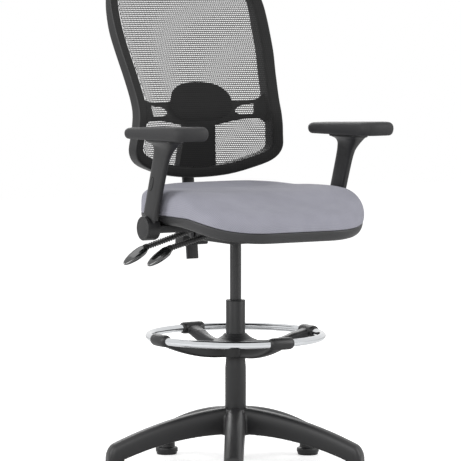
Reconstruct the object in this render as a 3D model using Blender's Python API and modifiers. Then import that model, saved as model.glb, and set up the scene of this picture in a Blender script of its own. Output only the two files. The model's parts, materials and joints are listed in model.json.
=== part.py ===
"""Drafting chair.

A five-leg nylon base carries a gas column with a sliding foot ring.  On the column turn the
under-seat mechanism, the upholstered seat, two folding armrests and a mesh back on an upright bar.
Metres, +Z up.  The sitter faces -Y, so the sitter's right hand is at -X.
"""
import math

import bmesh
import bpy
import numpy as np
from mathutils import Matrix, Vector

# --- Fits ------------------------------------------------------------------------------------
GAP = 0.0003                    # between pieces that touch
WALL = 0.0035                   # moulded walls
RIB = 0.0028                    # moulded ribs
SHEET = 0.003                   # pressed steel

# --- Base and glides -------------------------------------------------------------------------
LEG_COUNT = 5
LEG_HEADING = math.radians(32)  # first leg, from straight ahead towards the sitter's right
LEG_REACH = 0.3420
LEG_HALF_WIDTH = 0.0262
LEG_TOP = 0.1665                # top of a leg where it leaves the hub
LEG_ROOT_UNDERSIDE = 0.093
LEG_TIP_DROP = 0.096            # fall of the top ridge from hub to tip
LEG_TIP_RISE = 0.071            # fall of the underside from hub to tip
HUB_TOP = 0.160
HUB_BOTTOM = 0.0905
HUB_RADIUS = 0.0345
GLIDE_SET_IN = 0.024            # glide's axis, from the tip of its leg
GLIDE_CIRCLE = LEG_REACH - GLIDE_SET_IN
GLIDE_RADIUS = 0.028
GLIDE_NECK = 0.0185
GLIDE_SEAT = 0.040              # height of the socket boss that a glide's neck meets
GLIDE_STEM = 0.0053
GLIDE_BOSS = 0.0105

# --- Column ----------------------------------------------------------------------------------
TUBE_TOP = 0.435
TUBE_RADIUS = 0.0247            # straight upper part, on which the foot ring slides
TUBE_FOOT_RADIUS = 0.0270
TUBE_TAPER_TOP = 0.290          # the shoulder on which the foot ring rests at its lowest
TUBE_TAPER_FOOT = 0.262
TUBE_FOOT = 0.0935
TUBE_WALL = 0.0025
TUBE_END_PLATE = 0.004
CYLINDER_RADIUS = 0.0145
CYLINDER_FOOT = 0.225
CYLINDER_WALL = 0.0029
CYLINDER_TAPER = 0.0008         # how much the top narrows into its socket
PISTON_ROD_RADIUS = 0.005
PISTON_HEAD_TOP = 0.402
BUSH_LENGTH = 0.085
BUSH_FLANGE = 0.002
BEARING_HEIGHT = 0.006
BEARING_RADIUS = 0.016
CLIP_THICKNESS = 0.0016

# --- Foot ring -------------------------------------------------------------------------------
RING_LEVEL = 0.345
RING_RADIUS = 0.222
RING_TUBE = 0.0096
RING_ARM_COUNT = 4
RING_ARM_HEADING = 0.0          # first arm points straight ahead
CLIP_RADIUS = 0.0146
CLIP_LENGTH = 0.060
RING_HUB_DEPTH = 0.054          # hub underside below the ring's centre line
RING_HUB_RISE = 0.007           # hub top above the ring's centre line
RING_HUB_RADIUS = 0.046
KNOB_RADIUS = 0.021
KNOB_LENGTH = 0.020
KNOB_LOBES = 6

# --- Seat ------------------------------------------------------------------------------------
SEAT_LEVEL = 0.6325             # underside of the seat shell over the mechanism
SEAT_WIDTH = 0.500
SEAT_FRONT = -0.329
SEAT_BACK = 0.155
SEAT_CORNER = 0.145             # in plan, at the back
SEAT_FRONT_CORNER = 0.165
SEAT_FALL_START = -0.165        # in front of this line the seat curves down
SEAT_FALL_END = -0.345
FRONT_FACETS = 5                # flats that make up the curved front
SHELL_FLOOR_FALL = 0.0285
SHELL_RIM_FALL = 0.0335
SHELL_HEIGHT = 0.033
SHELL_TUCK = 0.010              # how far the shell's wall leans in towards its floor
BOARD_THICKNESS = 0.012
BOARD_INSET = 0.024
CUSHION_HEIGHT = 0.070          # above the shell's rim, at the back
CUSHION_FRONT_FALL = 0.030
CUSHION_BULGE = 0.002
CUSHION_DISH = 0.006
CUSHION_ROUND = 0.034

# --- Mechanism -------------------------------------------------------------------------------
TRAY_HALF_WIDTH = 0.066
TRAY_FRONT = -0.088
TRAY_BACK = 0.118
TRAY_DEPTH = 0.0545
SOCKET_RADIUS = 0.019
SOCKET_DEPTH = 0.061
SOCKET_TOP = -0.026
BOLT_HEAD = 0.0075
BOLT_LENGTH = 0.009
BOLT_SPREAD_X = 0.044
BOLT_SPREAD_Y = 0.060
RAKE_AXIS_Y = 0.100
RAKE_AXIS_Z = -0.0305
RAKE_SHAFT_RADIUS = 0.005
SPRING_WIRE = 0.0018
SPRING_TURNS = 5
SPRING_LENGTH = 0.070
CARRIER_HALF_WIDTH = 0.0600
CARRIER_BACK_HALF_WIDTH = 0.034
CARRIER_FRONT = 0.086
CARRIER_TOP = -0.010
CARRIER_BOTTOM = -0.0475

# --- Levers ----------------------------------------------------------------------------------
LEVER_AXIS_X = -0.052
LEVER_AXIS_Z = -0.0145
LEVER_PIN_RADIUS = 0.003
LEVER_EYE_RADIUS = 0.0065
LEVER_EYE_LENGTH = 0.014
LEVER_ROD_RADIUS = 0.0036
LEVER_SLEEVE_RADIUS = 0.0062
LEVER_RIB = 0.0009
LIFT_LEVER_Y = -0.040
RAKE_LEVER_Y = 0.047
GRIP_LENGTH = 0.078
GRIP_WIDTH = 0.0145
GRIP_THICKNESS = 0.0115
GRIP_SLOPE = math.radians(32)
BUTTON_RADIUS = 0.0045
BUTTON_STEM = 0.0032
BUTTON_RISE = 0.0065            # underside of the button's head above the cylinder

# --- Back ------------------------------------------------------------------------------------
BAR_WIDTH = 0.033
BAR_THICKNESS = 0.009
BAR_FOOT = -0.1065              # lower end, from the seat level
BAR_FOOT_Y = 0.219
BAR_LENGTH = 0.330
BAR_LEAN = math.radians(6.3)
HOUSING_HALF_WIDTH = 0.039
HOUSING_FRONT = 0.202
HOUSING_BACK = 0.245
HOUSING_TOP = -0.009
HOUSING_BOTTOM = -0.0685
BACK_LIFT = 0.1085              # lower edge of the back frame above the seat level
BACK_Y = 0.1285                 # front of the frame's sides at that edge
BACK_HALF_WIDTH = 0.2325
BACK_HEIGHT = 0.527
BACK_HOLLOW = 0.051             # how far the middle lies behind the sides
RIM_WIDTH = 0.028
RIM_DEPTH = 0.040
RIM_TOP_TRIM = 0.019
RIM_TRIM_START = 0.36
RIM_INNER_DEPTH = 0.029
RIM_EDGE = 0.0055               # roundness of the rim's front corners
RIM_LAND_START = 0.0065         # where its flat front face begins, from the outside
FABRIC_THICKNESS = 0.002
NET_COLUMNS = 12                # plain openings that stand for the net's fine ones
NET_ROWS = 12
NET_BAR = 0.0078                # width of what is left between them
NET_HEM = 0.004                 # cloth left round the inside of the rim
NET_LEAST = 0.00012             # smallest opening at the edge, in square metres
BRIDGE_SETBACK = 0.019
BRIDGE_THICKNESS = 0.007
RIB_HEIGHT = 0.010
SPINE_SETBACK = 0.0165
SPINE_DEPTH = 0.029
SPINE_HALF_WIDTH = 0.058
SPINE_TOP_HALF_WIDTH = 0.043
SPINE_TOP = 0.150
COVER_WALL = 0.0045
COVER_BOTTOM = 0.012
COVER_TOP = 0.125
LUMBAR_HALF_WIDTH = 0.0925
LUMBAR_BOTTOM = 0.146
LUMBAR_HEIGHT = 0.102
LUMBAR_THICKNESS = 0.0075
LUMBAR_SETBACK = 0.0060
LUMBAR_LEAN = math.radians(17.5)
LUMBAR_STEM = 0.006
LUMBAR_STEM_HEIGHT = 0.186      # above the frame's lower edge
LUMBAR_SLOT_UP = 0.012
LUMBAR_SLOT_DOWN = 0.008        # slot below the stem: the travel, and room for the stem that leans

# --- Armrests --------------------------------------------------------------------------------
ARM_AXIS_Y = -0.030
ARM_AXIS_Z = 0.0015
ARM_LEAN = math.radians(19.8)
ARM_CLEARANCE = 0.004           # between the seat's side and the bracket's upright ear
ARM_EAR_X = SEAT_WIDTH / 2 + ARM_CLEARANCE
ARM_EAR_THICKNESS = 0.004
DRUM_RADIUS = 0.0305
DRUM_LENGTH = 0.028
PIVOT_RADIUS = 0.006
PIVOT_HEAD_THICKNESS = 0.004
BRACKET_THICKNESS = 0.019
BRACKET_HALF_WIDTH = 0.026
BRACKET_INNER_X = 0.115
BRACKET_KNEE_X = 0.172           # where the bracket reaches its full thickness
BRACKET_TIP = 0.007
POST_HALF_LENGTH = 0.021
POST_HALF_WIDTH = 0.0055
POST_HEIGHT = 0.165
SLEEVE_HALF_LENGTH = 0.0290
SLEEVE_HALF_WIDTH = 0.0095
SLEEVE_FOOT = 0.036
ARM_TOP = 0.2190                # underside of the top plate above the arm's axis
HEAD_HALF_LENGTH = 0.0625
HEAD_HALF_WIDTH = 0.024
ARM_BUTTON_HEIGHT = 0.118
ARM_BUTTON_OFFSET = 0.008
ARM_BUTTON_HALF_LENGTH = 0.017
ARM_BUTTON_HALF_WIDTH = 0.0055
ARM_BUTTON_DEPTH = 0.0030
PLATE_THICKNESS = 0.004
PAD_HALF_WIDTH = 0.049
PAD_REAR = 0.032                # y of the pad's rear end
PAD_FRONT = -0.268
PAD_SKEW = 0.006                # how much further back the outer front corner lies
PAD_THICKNESS = 0.026
PAD_FRONT_THICKNESS = 0.031
PAD_RISE = 0.004                # how far the pad's underside climbs towards its front
PAD_CORNER = 0.030
PAD_EDGE = 0.011

# --- Finishes: colour, roughness, metallic ---------------------------------------------------
NYLON = ((0.045, 0.045, 0.046), 0.45, 0.0)
POLYPROPYLENE = ((0.055, 0.055, 0.055), 0.55, 0.0)
GLOSS_PLASTIC = ((0.020, 0.022, 0.022), 0.12, 0.0)
RUBBER = ((0.030, 0.030, 0.030), 0.80, 0.0)
SOFT_PAD = ((0.055, 0.055, 0.056), 0.60, 0.0)
BLACK_STEEL = ((0.040, 0.040, 0.042), 0.35, 0.6)
BRIGHT_STEEL = ((0.550, 0.550, 0.560), 0.30, 1.0)
CHROME = ((0.800, 0.810, 0.820), 0.06, 1.0)
PLYWOOD = ((0.550, 0.400, 0.240), 0.60, 0.0)
WOVEN_FABRIC = ((0.340, 0.340, 0.390), 0.90, 0.0)
MESH_FABRIC = ((0.030, 0.030, 0.030), 0.80, 0.0)


# --- Scene helpers ---------------------------------------------------------------------------
def clear_scene():
    for item in list(bpy.data.objects):
        bpy.data.objects.remove(item, do_unlink=True)


def new_collection(name):
    collection = bpy.data.collections.new(name)
    bpy.context.scene.collection.children.link(collection)
    return collection


clear_scene()
CHAIR = new_collection("drafting_chair")
CUTTERS = new_collection("cutters")


def empty(name, location, parent=None, rotation=(0.0, 0.0, 0.0)):
    item = bpy.data.objects.new(name, None)
    item.empty_display_size = 0.05
    item.location = location
    item.rotation_euler = rotation
    item.parent = parent
    CHAIR.objects.link(item)
    return item


def paint(item, finish):
    colour, roughness, metallic = finish
    material = bpy.data.materials.new(item.name + "_finish")
    material.use_nodes = True
    shader = material.node_tree.nodes["Principled BSDF"]
    shader.inputs["Base Color"].default_value = (*colour, 1.0)
    shader.inputs["Roughness"].default_value = roughness
    shader.inputs["Metallic"].default_value = metallic
    item.data.materials.append(material)


def piece(name, shape, finish, parent, location=(0.0, 0.0, 0.0), rotation=(0.0, 0.0, 0.0), smooth=35):
    """Make a bmesh (or mesh) a named object of the chair."""
    mesh = as_mesh(name, shape)
    mesh.shade_smooth()
    mesh.set_sharp_from_angle(angle=math.radians(smooth))
    item = bpy.data.objects.new(name, mesh)
    item.location = location
    item.rotation_euler = rotation
    item.parent = parent
    CHAIR.objects.link(item)
    paint(item, finish)
    return item


def as_mesh(name, shape):
    if isinstance(shape, bpy.types.Mesh):
        return shape
    mesh = bpy.data.meshes.new(name)
    shape.to_mesh(mesh)
    shape.free()
    return mesh


def tool(name, shape, target):
    """A hidden helper object in the target's own frame."""
    item = bpy.data.objects.new(name, as_mesh(name, shape))
    item.location = target.location
    item.rotation_euler = target.rotation_euler
    item.parent = target.parent
    item.hide_render = True
    item.display_type = "WIRE"
    CUTTERS.objects.link(item)
    return item


def combine(target, shape, operation):
    modifier = target.modifiers.new(operation.lower(), "BOOLEAN")
    modifier.operation = operation
    modifier.solver = "EXACT"
    modifier.object = tool(f"{target.name}_tool_{len(target.modifiers)}", shape, target)
    return target


def cut(target, shape):
    return combine(target, shape, "DIFFERENCE")


def join(target, shape):
    return combine(target, shape, "UNION")


# --- Shape helpers ---------------------------------------------------------------------------
def loft(rings, closed=False):
    """Skin rings of equally many points; end rings are capped unless the loft closes on itself."""
    shape = bmesh.new()
    rows = [[shape.verts.new(point) for point in ring] for ring in rings]
    following = rows[1:] + (rows[:1] if closed else [])
    for low, high in zip(rows, following):
        for i, corner in enumerate(low):
            j = (i + 1) % len(low)
            shape.faces.new((corner, low[j], high[j], high[i]))
    if not closed:
        shape.faces.new(rows[0])
        shape.faces.new(rows[-1])
    bmesh.ops.recalc_face_normals(shape, faces=shape.faces)
    return shape


def block(size, centre=(0.0, 0.0, 0.0), edge=0.0, segments=2):
    """A box of full size at a centre, its edges rounded by edge."""
    shape = bmesh.new()
    bmesh.ops.create_cube(shape, size=1.0)
    bmesh.ops.scale(shape, vec=size, verts=shape.verts)
    bmesh.ops.translate(shape, vec=centre, verts=shape.verts)
    if edge:
        bmesh.ops.bevel(shape, geom=shape.edges, offset=edge, segments=segments,
                        profile=0.5, affect="EDGES")
    return shape


def cylinder(start, end, radius, sides=24, end_radius=None):
    """A round bar or cone between two points."""
    start, end = Vector(start), Vector(end)
    shape = bmesh.new()
    turn = Vector((0, 0, 1)).rotation_difference(end - start).to_matrix().to_4x4()
    bmesh.ops.create_cone(shape, cap_ends=True, segments=sides, radius1=radius,
                          radius2=radius if end_radius is None else end_radius,
                          depth=(end - start).length,
                          matrix=Matrix.Translation((start + end) / 2) @ turn)
    return shape


def turned(name, profile, finish, parent, location=(0.0, 0.0, 0.0), rotation=(0.0, 0.0, 0.0),
           steps=32, hollow=False):
    """Revolve a (radius, height) profile about Z; it runs down the outer side."""
    mesh = bpy.data.meshes.new(name)
    edges = [(i, i + 1) for i in range(len(profile) - 1)]
    if hollow:
        edges.append((len(profile) - 1, 0))
    mesh.from_pydata([(radius, 0.0, height) for radius, height in profile], edges, [])
    item = bpy.data.objects.new(name, mesh)
    item.location = location
    item.rotation_euler = rotation
    item.parent = parent
    CHAIR.objects.link(item)
    screw = item.modifiers.new("turn", "SCREW")
    screw.axis = "Z"
    screw.steps = steps
    screw.render_steps = steps
    screw.use_merge_vertices = True
    screw.merge_threshold = 0.00001
    screw.use_smooth_shade = True
    paint(item, finish)
    return item


def round_rod(points, radius, resolution=2, kind="POLY", smoothness=4):
    """A bar of round section along points, as a mesh with welded caps."""
    curve = bpy.data.curves.new("rod", "CURVE")
    curve.dimensions = "3D"
    curve.bevel_depth = radius
    curve.bevel_resolution = resolution
    curve.use_fill_caps = True
    curve.resolution_u = smoothness
    spline = curve.splines.new(kind)
    if kind == "POLY":
        spline.points.add(len(points) - 1)
        for knot, point in zip(spline.points, points):
            knot.co = (*point, 1.0)
    else:
        spline.bezier_points.add(len(points) - 1)
        for knot, point in zip(spline.bezier_points, points):
            knot.co = point
            knot.handle_left_type = "AUTO"
            knot.handle_right_type = "AUTO"
    item = bpy.data.objects.new("rod", curve)
    CUTTERS.objects.link(item)
    graph = bpy.context.evaluated_depsgraph_get()
    mesh = bpy.data.meshes.new_from_object(item.evaluated_get(graph))
    bpy.data.objects.remove(item, do_unlink=True)
    shape = bmesh.new()
    shape.from_mesh(mesh)
    bmesh.ops.remove_doubles(shape, verts=shape.verts, dist=0.00001)
    bmesh.ops.recalc_face_normals(shape, faces=shape.faces)
    return shape


def torus(major, minor, major_steps=40, minor_steps=8):
    bpy.ops.mesh.primitive_torus_add(major_radius=major, minor_radius=minor,
                                     major_segments=major_steps, minor_segments=minor_steps)
    item = bpy.context.active_object
    mesh = item.data
    bpy.data.objects.remove(item, do_unlink=True)
    return mesh


def fillet_polygon(corners, radii, steps=4):
    """Outline with each corner rounded by its own radius."""
    outline = []
    count = len(corners)
    for i, corner in enumerate(corners):
        here = Vector(corner)
        before = (Vector(corners[i - 1]) - here).normalized()
        after = (Vector(corners[(i + 1) % count]) - here).normalized()
        half = math.acos(max(-1.0, min(1.0, before.dot(after)))) / 2
        radius = radii[i]
        reach = radius / math.tan(half)
        middle = here + (before + after).normalized() * (radius / math.sin(half))
        first = here + before * reach - middle
        last = here + after * reach - middle
        sweep = math.pi - 2 * half
        for k in range(steps + 1):
            angle = sweep * k / steps
            arm = (first * math.sin(sweep - angle) + last * math.sin(angle)) / math.sin(sweep)
            outline.append(tuple(middle + arm))
    return outline


def smooth_curve(points, steps=4, closed=False):
    """Catmull-Rom curve through points."""
    count = len(points)
    found = []
    for i in range(count if closed else count - 1):
        near = [points[(i + k) % count if closed else min(max(i + k, 0), count - 1)]
                for k in (-1, 0, 1, 2)]
        before, start, end, after = (np.array(point) for point in near)
        for k in range(steps):
            t = k / steps
            found.append(0.5 * (2 * start + (end - before) * t
                                + (2 * before - 5 * start + 4 * end - after) * t * t
                                + (3 * start - before - 3 * end + after) * t ** 3))
    if not closed:
        found.append(np.array(points[-1], dtype=float))
    return found


def star_knob(radius, length, stem_radius, stem_length):
    """A lobed hand knob along +Z with its screw below it."""
    rings = []
    for height, share in ((0.0, 0.80), (0.15, 1.0), (0.80, 1.0), (1.0, 0.72)):
        ring = []
        for k in range(KNOB_LOBES * 4):
            angle = 2 * math.pi * k / (KNOB_LOBES * 4)
            reach = radius * share * (0.92 + 0.08 * math.cos(KNOB_LOBES * angle))
            ring.append((reach * math.cos(angle), reach * math.sin(angle), height * length))
        rings.append(ring)
    shape = loft(rings)
    return shape, cylinder((0, 0, -stem_length), (0, 0, 0.3 * length), stem_radius, 12)


def smooth_step(value, start, end):
    share = min(max((value - start) / (end - start), 0.0), 1.0)
    return share * share * (3 - 2 * share)


# --- Bodies ----------------------------------------------------------------------------------
base_frame = empty("base_frame", (0, 0, 0))
ring_frame = empty("foot_ring_frame", (0, 0, RING_LEVEL), base_frame)
swivel_frame = empty("swivel_frame", (0, 0, TUBE_FOOT), base_frame)
seat_frame = empty("seat_frame", (0, 0, SEAT_LEVEL - TUBE_FOOT), swivel_frame)
carrier_frame = empty("carrier_frame", (0, RAKE_AXIS_Y, RAKE_AXIS_Z), seat_frame)


def in_seat(y, z):
    """Where a point of the seat frame lies in the carrier frame."""
    return y - RAKE_AXIS_Y, z - RAKE_AXIS_Z


# --- Base ------------------------------------------------------------------------------------
def leg_top(reach):
    share = (reach - HUB_RADIUS) / (LEG_REACH - HUB_RADIUS)
    return LEG_TOP - LEG_TIP_DROP * (0.54 * share + 0.46 * share * share)


def leg_underside(reach):
    share = (reach - HUB_RADIUS) / (LEG_REACH - HUB_RADIUS)
    return LEG_ROOT_UNDERSIDE - LEG_TIP_RISE * share * share


def leg_half_width(reach):
    return LEG_HALF_WIDTH - 0.002 * (reach - HUB_RADIUS) / (LEG_REACH - HUB_RADIUS)


def arch_ring(reach, half_width, low, high, points=8):
    """Upright section of a leg: flat below, a full round top."""
    ring = []
    for k in range(points):
        angle = math.pi * k / (points - 1)
        across = abs(math.cos(angle)) ** 0.62 * math.copysign(1, math.cos(angle))
        ring.append((reach, half_width * across, low + (high - low) * math.sin(angle) ** 0.55))
    return ring


def heading(shape, angle):
    """Turn a shape built along +X so that it points at an angle from -Y towards -X."""
    bmesh.ops.rotate(shape, verts=shape.verts,
                     matrix=Matrix.Rotation(-math.pi / 2 - angle, 3, "Z"))
    return shape


def leg_shape():
    blunt = 0.016
    root = HUB_RADIUS * 0.6
    rings = [arch_ring(root, LEG_HALF_WIDTH - 0.003, LEG_ROOT_UNDERSIDE + 0.006, HUB_TOP - 0.004)]
    for k in range(6):
        r = HUB_RADIUS + (LEG_REACH - blunt - HUB_RADIUS) * k / 5
        rings.append(arch_ring(r, leg_half_width(r), leg_underside(r), leg_top(r)))
    nose = LEG_REACH - blunt
    for share, inset, drop, rise in ((0.55, 0.0008, 0.006, 0.001), (1.0, 0.0060, 0.022, 0.006)):
        r = nose + blunt * share
        rings.append(arch_ring(r, leg_half_width(r) - inset, leg_underside(r) + rise,
                               leg_top(r) - drop))
    return loft(rings)


def leg_hollow(side):
    """Space under one half of a leg, beside its middle rib; the tip stays solid round the glide."""
    start, end, last = HUB_RADIUS + 0.022, GLIDE_CIRCLE - GLIDE_BOSS - 0.008, 3
    rings = []
    for k in range(last + 1):
        r = start + (end - start) * k / last
        half = leg_half_width(r) - WALL - 0.0005
        low, high = leg_underside(r) - 0.01, leg_top(r) - WALL - 0.0015
        ring = []
        for across, upward in ((RIB / 2 / half, 0.0), (1.0, 0.0), (0.985, 0.55), (0.72, 0.9),
                               (RIB / 2 / half, 1.0)):
            ring.append((r, side * half * across, low + (high - low) * upward))
        rings.append(ring)
    return loft(rings)


def build_base():
    angles = [LEG_HEADING + 2 * math.pi * k / LEG_COUNT for k in range(LEG_COUNT)]
    hub = cylinder((0, 0, HUB_BOTTOM), (0, 0, HUB_TOP), HUB_RADIUS + 0.008, 30, HUB_RADIUS)
    star = piece("base_star", heading(hub, angles[0]), NYLON, base_frame)
    for angle in angles:
        join(star, heading(leg_shape(), angle))
    for angle in angles:
        for side in (-1, 1):
            cut(star, heading(leg_hollow(side), angle))
    stem_top = GLIDE_SEAT + 0.026
    for angle in angles:
        cut(star, heading(cylinder((GLIDE_CIRCLE, 0, GLIDE_SEAT - 0.01),
                                   (GLIDE_CIRCLE, 0, stem_top + GAP), GLIDE_STEM + GAP, 12), angle))
        cut(star, heading(cylinder((GLIDE_CIRCLE, 0, 0), (GLIDE_CIRCLE, 0, GLIDE_SEAT), GLIDE_NECK + 0.0015, 16),
                          angle))
    cut(star, cylinder((0, 0, 0), (0, 0, LEG_TOP + 0.01), TUBE_FOOT_RADIUS + GAP, 32))
    neck_top = GLIDE_SEAT - GAP
    profile = [(0.0, stem_top), (GLIDE_STEM, stem_top), (GLIDE_STEM, neck_top), (GLIDE_NECK, neck_top),
               (GLIDE_NECK, 0.019), (GLIDE_RADIUS - 0.003, 0.0165), (GLIDE_RADIUS, 0.014),
               (GLIDE_RADIUS, 0.009), (GLIDE_RADIUS - 0.004, 0.0), (0.0, 0.0)]
    for k, angle in enumerate(angles):
        spot = (-GLIDE_CIRCLE * math.sin(angle), -GLIDE_CIRCLE * math.cos(angle), 0.0)
        turned(f"glide_{k + 1}", profile, NYLON, base_frame, spot, steps=16)


# --- Column ----------------------------------------------------------------------------------
def build_column():
    inner = TUBE_RADIUS - TUBE_WALL
    plate_top = TUBE_FOOT + TUBE_END_PLATE
    rod_hole = PISTON_ROD_RADIUS + GAP
    turned("column_tube", [
        (TUBE_RADIUS, TUBE_TOP), (TUBE_RADIUS, TUBE_TAPER_TOP), (TUBE_FOOT_RADIUS, TUBE_TAPER_FOOT),
        (TUBE_FOOT_RADIUS, TUBE_FOOT), (rod_hole, TUBE_FOOT), (rod_hole, plate_top),
        (inner, plate_top), (inner, TUBE_TOP)], NYLON, base_frame, steps=32, hollow=True)
    bush_top = TUBE_TOP + GAP + BUSH_FLANGE
    bore = CYLINDER_RADIUS + GAP
    turned("column_bush", [
        (TUBE_RADIUS - 0.001, bush_top), (TUBE_RADIUS, bush_top - 0.001), (TUBE_RADIUS, TUBE_TOP + GAP),
        (inner - GAP, TUBE_TOP + GAP), (inner - GAP, TUBE_TOP - BUSH_LENGTH),
        (bore, TUBE_TOP - BUSH_LENGTH), (bore, bush_top)], POLYPROPYLENE, base_frame, steps=24,
        hollow=True)
    turned("thrust_bearing", [
        (BEARING_RADIUS, plate_top + GAP + BEARING_HEIGHT), (BEARING_RADIUS, plate_top + GAP),
        (rod_hole, plate_top + GAP), (rod_hole, plate_top + GAP + BEARING_HEIGHT)],
        BRIGHT_STEEL, base_frame, steps=16, hollow=True)

    shoulder = plate_top + 2 * GAP + BEARING_HEIGHT - TUBE_FOOT
    head_radius = CYLINDER_RADIUS - CYLINDER_WALL - GAP
    head_top = PISTON_HEAD_TOP - TUBE_FOOT
    clip_top = -GAP
    clip_bottom = clip_top - CLIP_THICKNESS
    groove = PISTON_ROD_RADIUS - 0.0008
    turned("piston_rod", [
        (0.0, head_top), (head_radius, head_top), (head_radius, head_top - 0.016),
        (PISTON_ROD_RADIUS, head_top - 0.016), (PISTON_ROD_RADIUS, shoulder + 0.004),
        (PISTON_ROD_RADIUS + 0.004, shoulder + 0.004), (PISTON_ROD_RADIUS + 0.004, shoulder),
        (PISTON_ROD_RADIUS, shoulder), (PISTON_ROD_RADIUS, clip_top + 0.0001),
        (groove, clip_top + 0.0001), (groove, clip_bottom - 0.0001),
        (PISTON_ROD_RADIUS, clip_bottom - 0.0001), (PISTON_ROD_RADIUS - 0.001, clip_bottom - 0.004),
        (0.0, clip_bottom - 0.004)], BRIGHT_STEEL, swivel_frame, steps=16)
    turned("retaining_clip", [
        (PISTON_ROD_RADIUS + 0.004, clip_top), (PISTON_ROD_RADIUS + 0.004, clip_bottom),
        (groove + GAP, clip_bottom), (groove + GAP, clip_top)], BRIGHT_STEEL, swivel_frame,
        steps=16, hollow=True)


def build_gas_cylinder():
    top = SOCKET_TOP + 0.002
    bore = CYLINDER_RADIUS - CYLINDER_WALL
    foot = CYLINDER_FOOT - SEAT_LEVEL
    neck = CYLINDER_RADIUS - CYLINDER_TAPER
    stem_hole = BUTTON_STEM + GAP
    gland = PISTON_ROD_RADIUS + GAP
    turned("gas_cylinder", [
        (neck - 0.001, top), (neck, top - 0.001), (CYLINDER_RADIUS, -SOCKET_DEPTH - 0.002),
        (CYLINDER_RADIUS, foot + 0.001), (CYLINDER_RADIUS - 0.001, foot), (gland, foot),
        (gland, foot + 0.012), (bore, foot + 0.012), (bore, top - 0.022), (stem_hole, top - 0.022),
        (stem_hole, top)], BLACK_STEEL, seat_frame, steps=24, hollow=True)
    button_frame = empty("gas_button_frame", (0, 0, top), seat_frame)
    turned("gas_button", [
        (0.0, BUTTON_RISE + 0.003), (BUTTON_RADIUS, BUTTON_RISE + 0.003), (BUTTON_RADIUS, BUTTON_RISE),
        (BUTTON_STEM, BUTTON_RISE), (BUTTON_STEM, -0.018), (0.0, -0.018)], BRIGHT_STEEL,
        button_frame, steps=12)
    socket_neck = neck + GAP
    socket_foot = CYLINDER_RADIUS + GAP
    turned("taper_socket", [
        (SOCKET_RADIUS - 0.001, SOCKET_TOP), (SOCKET_RADIUS, SOCKET_TOP - 0.001),
        (SOCKET_RADIUS, -SOCKET_DEPTH), (socket_foot, -SOCKET_DEPTH), (socket_neck, SOCKET_TOP)],
        BLACK_STEEL, seat_frame, steps=24, hollow=True)
    return top + BUTTON_RISE + 0.003


# --- Foot ring -------------------------------------------------------------------------------
def spider_arm():
    """One arm, built along +X: deep at the hub, sweeping up to the clip."""
    rings = []
    for share in (0.0, 0.25, 0.50, 0.75, 1.0):
        reach = 0.026 + (RING_RADIUS - 0.026) * share
        low = -RING_HUB_DEPTH + 1.28 * max(reach - 0.04, 0.0) ** 2
        high = -0.008 - 0.009 * math.sin(math.pi * min(share / 0.75, 1.0)) + 0.020 * share ** 4
        half = 0.0150 - 0.003 * math.sin(math.pi * min(share * 1.3, 1.0)) + 0.006 * share ** 3
        ring = []
        for k in range(10):
            angle = 2 * math.pi * (k + 0.5) / 10
            across = abs(math.cos(angle)) ** 0.6 * math.copysign(1, math.cos(angle))
            upward = abs(math.sin(angle)) ** 0.6 * math.copysign(1, math.sin(angle))
            ring.append((reach, half * across, (low + high) / 2 + (high - low) / 2 * upward))
        rings.append(ring)
    return loft(rings)


def clip_shape():
    """The sleeve that wraps the ring's tube, built about +X."""
    rings = []
    half_angle = CLIP_LENGTH / RING_RADIUS / 2
    for share, radius in ((-1.0, CLIP_RADIUS - 0.002), (-0.9, CLIP_RADIUS), (0.9, CLIP_RADIUS),
                          (1.0, CLIP_RADIUS - 0.002)):
        turn = Matrix.Rotation(half_angle * share, 3, "Z")
        rings.append([turn @ Vector((RING_RADIUS + radius * math.cos(a), 0, radius * math.sin(a)))
                      for a in (2 * math.pi * (k + 0.5) / 10 for k in range(10))])
    return loft(rings)


def build_foot_ring():
    piece("foot_ring", torus(RING_RADIUS, RING_TUBE), CHROME, ring_frame)
    bore = TUBE_RADIUS + GAP
    spider = piece("ring_spider", cylinder((0, 0, -RING_HUB_DEPTH), (0, 0, -RING_HUB_RISE - 0.006),
                                           RING_HUB_RADIUS - 0.006, 32, RING_HUB_RADIUS + 0.004),
                   NYLON, ring_frame)
    join(spider, cylinder((0, 0, -RING_HUB_RISE - 0.008), (0, 0, RING_HUB_RISE), RING_HUB_RADIUS + 0.004,
                          32, bore + 0.0028))
    angles = [RING_ARM_HEADING + 2 * math.pi * k / RING_ARM_COUNT for k in range(RING_ARM_COUNT)]
    for angle in angles:
        join(spider, heading(spider_arm(), angle))
        join(spider, heading(clip_shape(), angle))
    cut(spider, cylinder((0, 0, -RING_HUB_DEPTH - 0.01), (0, 0, RING_HUB_RISE + 0.01), bore, 32))
    cut(spider, torus(RING_RADIUS, RING_TUBE + GAP))

    knob_z = -RING_HUB_DEPTH + 0.016
    spot = RING_HUB_RADIUS + 0.0045
    stem = spot - bore - GAP
    knob, screw = star_knob(KNOB_RADIUS * 0.8, KNOB_LENGTH, 0.004, stem)
    reach = spot * math.sqrt(0.5)
    knob_frame = empty("ring_knob_frame", (reach, reach, knob_z), ring_frame,
                       (-math.pi / 2, 0, -math.pi / 4))
    join(piece("ring_knob", knob, NYLON, knob_frame), screw)
    cut(spider, heading(cylinder((bore - 0.004, 0, knob_z), (spot + 0.01, 0, knob_z), 0.004 + GAP, 12),
                        math.radians(225)))


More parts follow.
